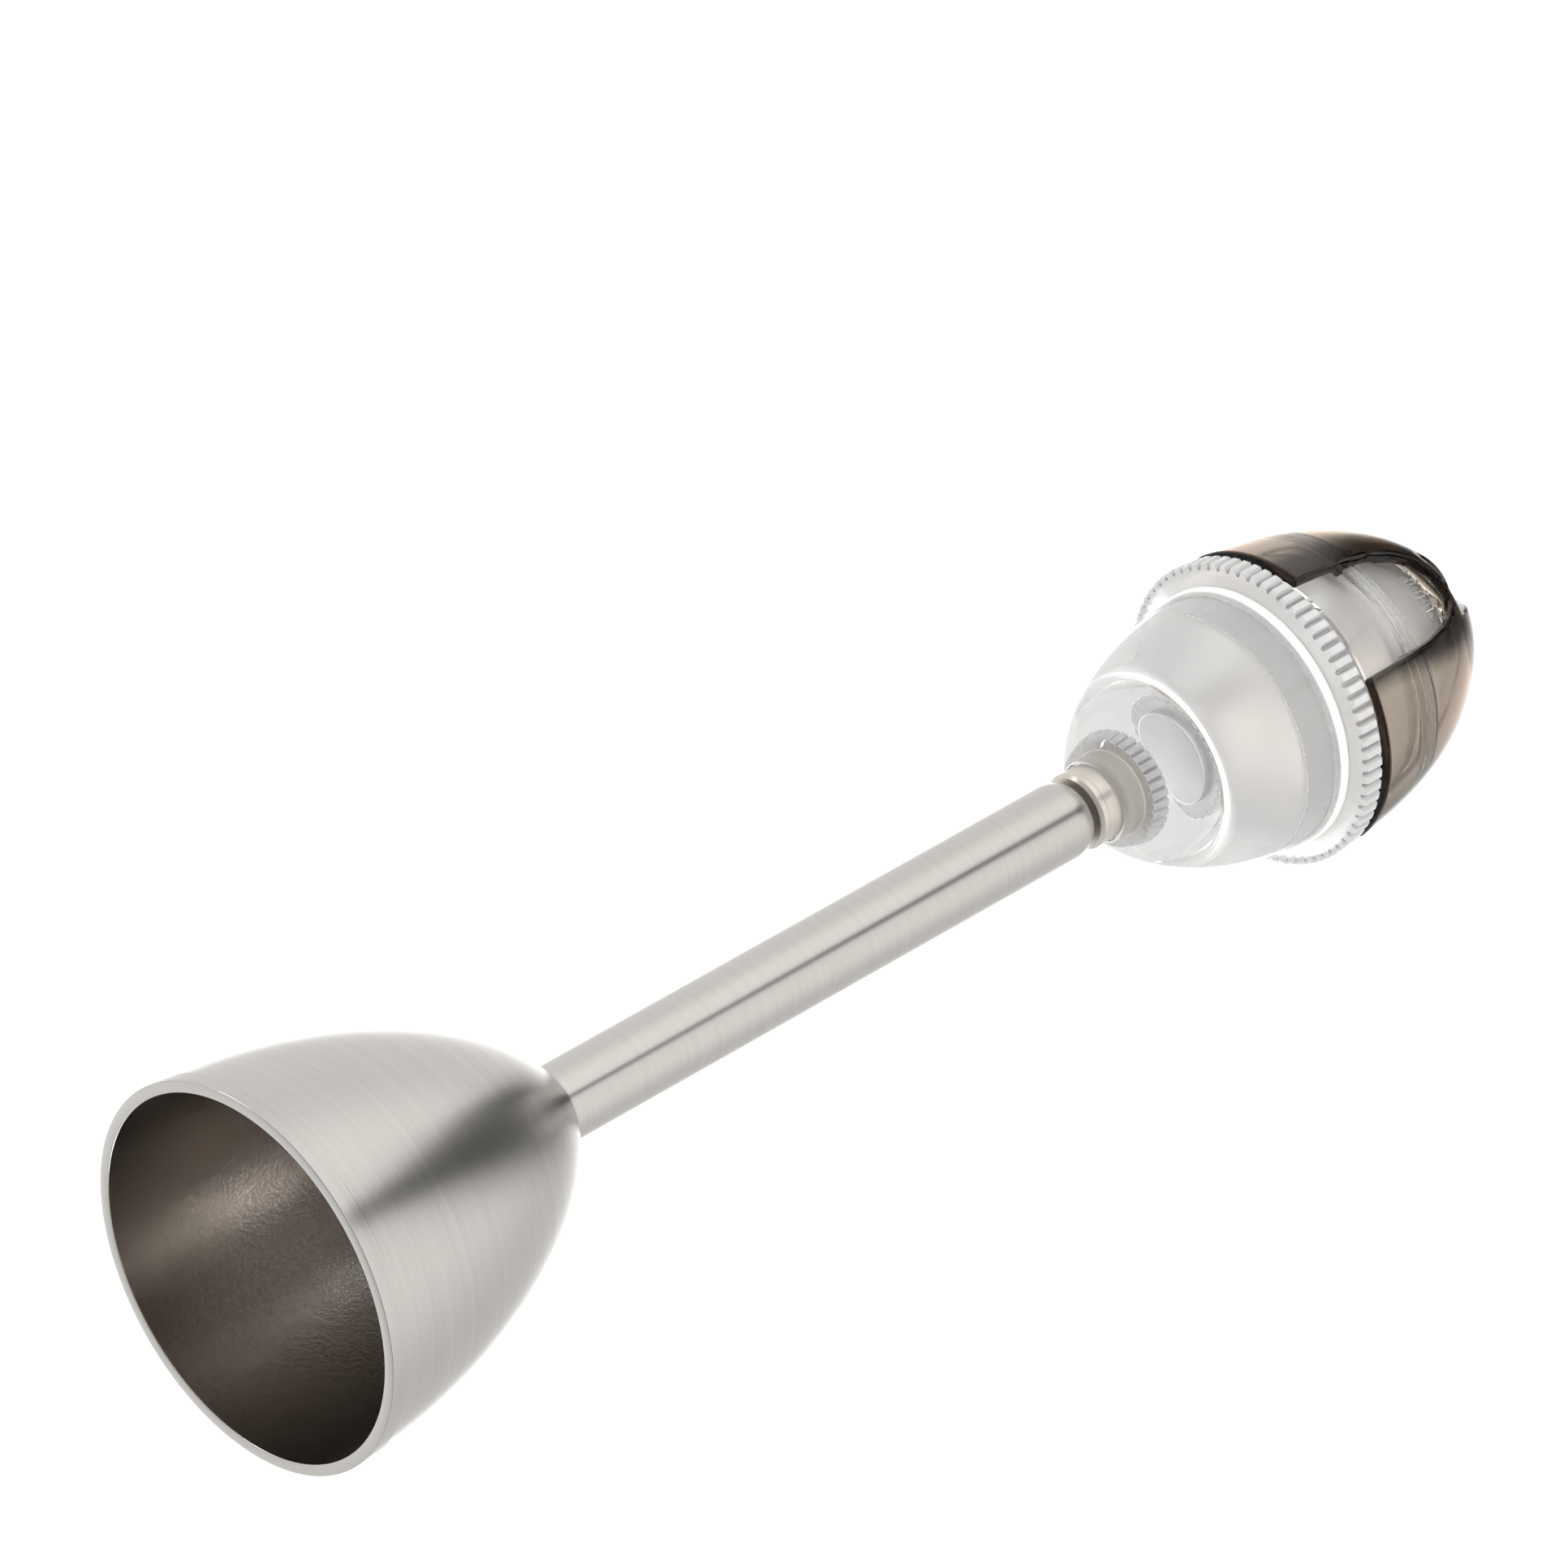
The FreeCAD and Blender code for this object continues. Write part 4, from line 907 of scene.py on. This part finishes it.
def make_cap():
    tip = DOME_DATUM + DOME_FULL[1]
    half = WINDOW_ANGLE / 2.0
    low_out = window_end(dome_out, half)
    low_in = window_end(dome_in, half)
    pin_level = DOME_DATUM + bell_height(DOME_FULL, VALLEY_TOP_RADIUS)
    foot_in = dome_run(DOME_IN, CAP_FOOT, CAP_BEAD_BOTTOM - 0.5, 8)
    groove = [
        (CAP_BEAD, CAP_BEAD_BOTTOM),
        (CAP_BEAD, CAP_BEAD_TOP),
        (CAP_GROOVE, CAP_BEAD_TOP),
        (CAP_GROOVE, RIB_TOP),
    ]
    wall_in = dome_run(DOME_IN, RIB_TOP, low_in, 12)
    corner_in = dome_run(DOME_IN, low_in, SHOULDER_IN, 8)
    roof = [ROOF_LOW, ROOF_CUT, ROOF_HIGH, (0.0, ROOF_HIGH[1])]
    wall_out = dome_run(DOME_FULL, CAP_FOOT, low_out, 24)
    corner_out = dome_run(DOME_FULL, low_out, WINDOW_TOP, 10)
    crown = dome_run(DOME_FULL, WINDOW_TOP, pin_level, 26)
    pin = [(VALLEY_TOP_RADIUS * 0.5, tip - 0.1), (0.0, tip)]
    valley = []
    valley_foot = dome_out(WINDOW_TOP)
    steps = 12
    for step in range(1, steps + 1):
        share = step / steps
        valley.append((valley_foot + (VALLEY_TOP_RADIUS - valley_foot) * share,
                       WINDOW_TOP + (VALLEY_TOP - WINDOW_TOP) * share))
    arm = foot_in + groove + wall_in + corner_in[1:] + roof
    arm_outline = pin[::-1] + crown[::-1] + corner_out[-2::-1] + wall_out[-2::-1] + arm
    gap_outline = pin[::-1] + [crown[-1]] + valley[::-1] + corner_out[::-1] + corner_in + roof
    bm = bmesh.new()

    def fit_corner(verts, middle):
        """Lift the lower end of the roof's edge to the window's rounded end."""
        for vert in verts:
            radius = math.hypot(vert.co.x, vert.co.y) / MM
            level = vert.co.z / MM
            if level > WINDOW_TOP - 0.001:
                continue
            azimuth = math.atan2(vert.co.y, vert.co.x)
            offset = (azimuth - middle + math.pi) % TURN - math.pi
            skin = dome_out if radius > (dome_out(level) + dome_in(level)) / 2.0 else dome_in
            end = window_end(skin, offset)
            if level < end + 0.3:
                level = end
            reach = skin(level) * MM
            vert.co = (reach * math.cos(azimuth), reach * math.sin(azimuth), level * MM)

    for middle in WINDOW_MIDDLES:
        fit_corner(spin_outline(bm, gap_outline, False, 28, middle - half, WINDOW_ANGLE), middle)
        spin_outline(bm, arm_outline, False, 26, middle + half, TURN / WINDOWS - WINDOW_ANGLE)
    bmesh.ops.remove_doubles(bm, verts=bm.verts, dist=0.0005 * MM)
    bmesh.ops.holes_fill(bm, edges=[edge for edge in bm.edges if edge.is_boundary], sides=0)
    bmesh.ops.recalc_face_normals(bm, faces=bm.faces)
    soften(bm, CAP_EDGE)
    piece = finish_mesh(bm, "cap_moulding", SMOKE, 40.0)
    adopt(piece, "window_cap", "smoke_cap")


# ---------------------------------------------------------------- pieces that stay as they are
def dress(node, material):
    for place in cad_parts[node].material_slots:
        place.material = material


make_cup()
make_tube()
make_spring()
make_collar()
make_bowl()
make_seal()
make_ring()
make_chamber()
make_sieve()
make_cap()
for plain in ("anvil_plug", "upper_spring_washer", "lower_spring_washer", "hammer", "hammer_pin",
              "plunger_rod"):
    dress(plain, PLAIN_STEEL)
dress("end_bush", BUSH_PLASTIC)


# ---------------------------------------------------------------- stage
# The tool lies on the floor on its cup's bead and its ring, so the floor leans along the axis.
FLOOR_AZIMUTH = math.radians(224.4)
FLOOR_HALF_WIDTH = 6.0
FLOOR_GLOW = 0.86
FLOOR_GREY = ((0.30, 0.30, 0.30), (0.33, 0.33, 0.33))
BEAD_LEVEL = 1.0
RING_LEVEL = 134.5
CARD_RADIUS = 34.0
CARD_PLACE = (-14.0, -8.0, 180.0)
CARD_EDGE = (13.0, 33.0)
CARD_GREY = ((0.010, 0.010, 0.011), (0.016, 0.016, 0.017))

# Fades of the surroundings, each as where it starts and ends and the values there. The gap's are
# turns about the world's X and shares of its width, the sides' are turns about Z, and the others'
# are shares of a direction.
GAP_WIDTH = (0.55, 1.35, 0.07, 0.26)
GAP_OPENING = (0.1, 0.8, 0.0, 0.93)
GAP_CLOSING = (1.5, 2.1, 1.0, 0.0)
GAP_LEFT_EDGE = (-1.15, -0.85, 0.0, 1.0)
GAP_RIGHT_EDGE = (0.3, 1.7, 1.0, 0.0)
MOUTH_SIDE = (-1.1, -0.2, 0.1, 1.0)
LEFT_SIDE = (-1.5, -0.65, 0.93, 1.2)
RIGHT_SIDE = (0.8, 1.9, 1.1, 0.78)
SIDES_MEET = (-0.05, 0.05, 0.0, 1.0)
BACK_WIDTH = (0.15, 0.42, 1.0, 0.0)
BACK_START = (0.3, 0.75, 0.0, 1.0)
BACK_LEVEL = (-0.2, 0.3, 0.6, 1.7)

# The least light for a ray after one clear wall and after eight, and for one that a dull face scattered.
THROUGH_LEVEL = (1.0, 8.0, 0.70, 1.8)
SPREAD_LEVEL = 1.45


def choose_shader(tree, factor, first, second, output):
    """Show the first shader where the factor is 0 and the second one where it is 1."""
    mix = tree.nodes.new("ShaderNodeMixShader")
    tree.links.new(factor, mix.inputs["Fac"])
    tree.links.new(first.outputs[0], mix.inputs[1])
    tree.links.new(second.outputs[0], mix.inputs[2])
    tree.links.new(mix.outputs["Shader"], output.inputs["Surface"])


def paper(name, grey, scale, shine):
    """Dull sheet material with a faint cloud, and the clear shader that it can give way to."""
    material, tree, shader = new_material(name)
    shader.inputs["Roughness"].default_value = 0.9
    shader.inputs["Specular IOR Level"].default_value = shine
    cloud = stretched_noise(tree, object_coordinates(tree), scale, 2.0)
    tint(tree, shader, cloud, *grey)
    return material, tree, shader, tree.nodes.new("ShaderNodeBsdfTransparent")


def place_sheet(name, bm, place, material):
    mesh = bpy.data.meshes.new(name)
    bm.to_mesh(mesh)
    bm.free()
    mesh.materials.append(material)
    sheet = bpy.data.objects.new(name, mesh)
    sheet.matrix_world = place
    bpy.context.scene.collection.objects.link(sheet)
    return sheet


def make_floor():
    """Glowing floor, seen by the camera from above and clear to all other rays."""
    lean = math.atan2(RING_TIP - CUP_BEAD_RADIUS, RING_LEVEL - BEAD_LEVEL)
    normal = Vector((math.cos(FLOOR_AZIMUTH), math.sin(FLOOR_AZIMUTH), 0.0)) * math.cos(lean)
    normal.z = math.sin(lean)
    foot = Vector((-normal.x, -normal.y, 0.0)).normalized() * (CUP_BEAD_RADIUS + FACE_GAP) * MM
    foot.z = BEAD_LEVEL * MM
    material, tree, shader, clear = paper("studio_floor_paper", FLOOR_GREY, 3.0, 0.1)
    shader.inputs["Emission Strength"].default_value = FLOOR_GLOW
    shader.inputs["Emission Color"].default_value = (1.0, 1.0, 1.0, 1.0)
    below = tree.nodes.new("ShaderNodeNewGeometry").outputs["Backfacing"]
    camera = tree.nodes.new("ShaderNodeLightPath").outputs["Is Camera Ray"]
    seen = calculate(tree, "MAXIMUM", calculate(tree, "SUBTRACT", camera, below), 0.0)
    choose_shader(tree, seen, clear, shader, find_node(tree, "OUTPUT_MATERIAL"))
    bm = bmesh.new()
    bmesh.ops.create_grid(bm, x_segments=1, y_segments=1, size=FLOOR_HALF_WIDTH)
    turn = normal.to_track_quat("Z", "Y").to_matrix().to_4x4()
    floor = place_sheet("studio_floor", bm, Matrix.Translation(foot) @ turn, material)


def make_card():
    """Black card past the shaker's pole with a soft edge, there for mirroring rays only."""
    material, tree, shader, clear = paper("black_card_felt", CARD_GREY, 300.0, 0.0)
    reach = tree.nodes.new("ShaderNodeVectorMath")
    reach.operation = "LENGTH"
    tree.links.new(object_coordinates(tree), reach.inputs[0])
    dense = fade(tree, reach.outputs["Value"], CARD_EDGE[0] * MM, CARD_EDGE[1] * MM, 1.0, 0.0)
    mirrored = tree.nodes.new("ShaderNodeLightPath").outputs["Is Reflection Ray"]
    seen = calculate(tree, "MULTIPLY", mirrored, dense)
    choose_shader(tree, seen, clear, shader, find_node(tree, "OUTPUT_MATERIAL"))
    bm = bmesh.new()
    bmesh.ops.create_circle(bm, cap_ends=True, segments=48, radius=CARD_RADIUS * MM)
    card = place_sheet("black_card", bm, Matrix.Translation([part * MM for part in CARD_PLACE]), material)


def background(tree, colour):
    node = tree.nodes.new("ShaderNodeBackground")
    node.inputs["Color"].default_value = (*colour, 1.0)
    return node


def make_world():
    """White surroundings with a dark gap that opens past the shaker and a dim side at the cup's mouth."""
    world = bpy.data.worlds.new("studio")
    bpy.context.scene.world = world
    world.use_nodes = True
    tree = world.node_tree
    tree.nodes.clear()
    maths = partial(calculate, tree)
    ramp = partial(fade, tree)
    x, y, z = split_axes(tree, tree.nodes.new("ShaderNodeTexCoord").outputs["Generated"])
    front = maths("MULTIPLY", y, -1.0)

    turn = maths("ARCTAN2", z, front)
    across = maths("DIVIDE", x, ramp(turn, *GAP_WIDTH))
    depth = maths("MULTIPLY", ramp(turn, *GAP_OPENING), ramp(turn, *GAP_CLOSING))
    gap = maths("MULTIPLY", ramp(across, *GAP_LEFT_EDGE), ramp(across, *GAP_RIGHT_EDGE))
    lit = maths("SUBTRACT", 1.0, maths("MULTIPLY", gap, depth))
    ends = maths("MULTIPLY", lit, ramp(z, *MOUTH_SIDE))

    around = maths("ARCTAN2", x, front)
    share = ramp(around, *SIDES_MEET)
    right = maths("MULTIPLY", share, ramp(around, *RIGHT_SIDE))
    left = maths("MULTIPLY", maths("SUBTRACT", 1.0, share), ramp(around, *LEFT_SIDE))
    sides = maths("ADD", right, left)

    middle = ramp(maths("ABSOLUTE", x), *BACK_WIDTH)
    bright = maths("MULTIPLY", ramp(y, *BACK_START), middle)
    behind = maths("ADD", 1.0, maths("MULTIPLY", bright, ramp(z, *BACK_LEVEL)))
    level = maths("MULTIPLY", ends, maths("MULTIPLY", sides, behind))

    path = tree.nodes.new("ShaderNodeLightPath")
    walls = ramp(path.outputs["Transmission Depth"], *THROUGH_LEVEL)
    through = maths("MULTIPLY", path.outputs["Is Transmission Ray"], walls)
    spread = maths("MULTIPLY", maths("MINIMUM", path.outputs["Diffuse Depth"], 1.0), SPREAD_LEVEL)
    soft = background(tree, (1.0, 0.99, 0.975))
    strength = maths("MAXIMUM", level, maths("MAXIMUM", through, spread))
    tree.links.new(strength, soft.inputs["Strength"])
    plain = background(tree, (1.0, 1.0, 1.0))
    output = tree.nodes.new("ShaderNodeOutputWorld")
    choose_shader(tree, path.outputs["Is Camera Ray"], soft, plain, output)


def facing(place, back):
    """Placement of a lamp or camera at a point, with its back to a direction."""
    return Matrix.Translation(place) @ back.to_track_quat("Z", "Y").to_matrix().to_4x4()


def hang_lamp(light, place, aim, power, colour):
    light.energy = power
    light.color = colour
    lamp = bpy.data.objects.new(light.name, light)
    lamp.matrix_world = facing(Vector(place), Vector(place) - Vector(aim))
    bpy.context.scene.collection.objects.link(lamp)


def make_lamps():
    """A narrow softbox and a small spot, both aimed into the cup's mouth."""
    softbox = bpy.data.lights.new("mouth_softbox", "AREA")
    softbox.shape = "RECTANGLE"
    softbox.size = 0.03
    softbox.size_y = 0.13
    softbox.spread = math.radians(16.0)
    hang_lamp(softbox, (-0.40, 0.03, -0.21), (0.0, 0.0, 0.0), 0.008, (0.97, 0.98, 1.0))
    beam = bpy.data.lights.new("mouth_beam", "SPOT")
    beam.shadow_soft_size = 0.007
    beam.spot_size = math.radians(3.0)
    beam.spot_blend = 0.6
    hang_lamp(beam, (0.260, 0.191, -0.229), (-0.009, 0.003, 0.0), 7.5, (0.85, 0.92, 1.0))


def make_camera():
    """Long lens from beside and a little before the mouth, rolled so that the floor is level."""
    right = Vector((0.490338, -0.500510, 0.713480))
    up = Vector((-0.871423, -0.294373, 0.392380))
    back = Vector((0.013639, -0.814146, -0.580500))
    mouth_seen = Vector((-49.528, 45.547, 1129.531))
    place = -(right * mouth_seen.x - up * mouth_seen.y - back * mouth_seen.z) * MM
    frame_pixels = 1932.0
    focal_pixels = 15139.06
    lens = bpy.data.cameras.new("long_lens")
    lens.sensor_width = 36.0
    lens.lens = lens.sensor_width * focal_pixels / frame_pixels
    lens.clip_start = 0.05
    lens.clip_end = 50.0
    camera = bpy.data.objects.new("studio_camera", lens)
    camera.matrix_world = Matrix((
        (right.x, up.x, back.x, place.x),
        (right.y, up.y, back.y, place.y),
        (right.z, up.z, back.z, place.z),
        (0.0, 0.0, 0.0, 1.0),
    ))
    bpy.context.scene.collection.objects.link(camera)
    bpy.context.scene.camera = camera


make_floor()
make_world()
make_card()
make_lamps()
make_camera()

scene = bpy.context.scene
scene.view_settings.view_transform = "Standard"
scene.view_settings.look = "None"
scene.cycles.max_bounces = 28
scene.cycles.transmission_bounces = 28
scene.cycles.glossy_bounces = 8
scene.cycles.transparent_max_bounces = 16
scene.cycles.caustics_reflective = True
scene.cycles.caustics_refractive = True
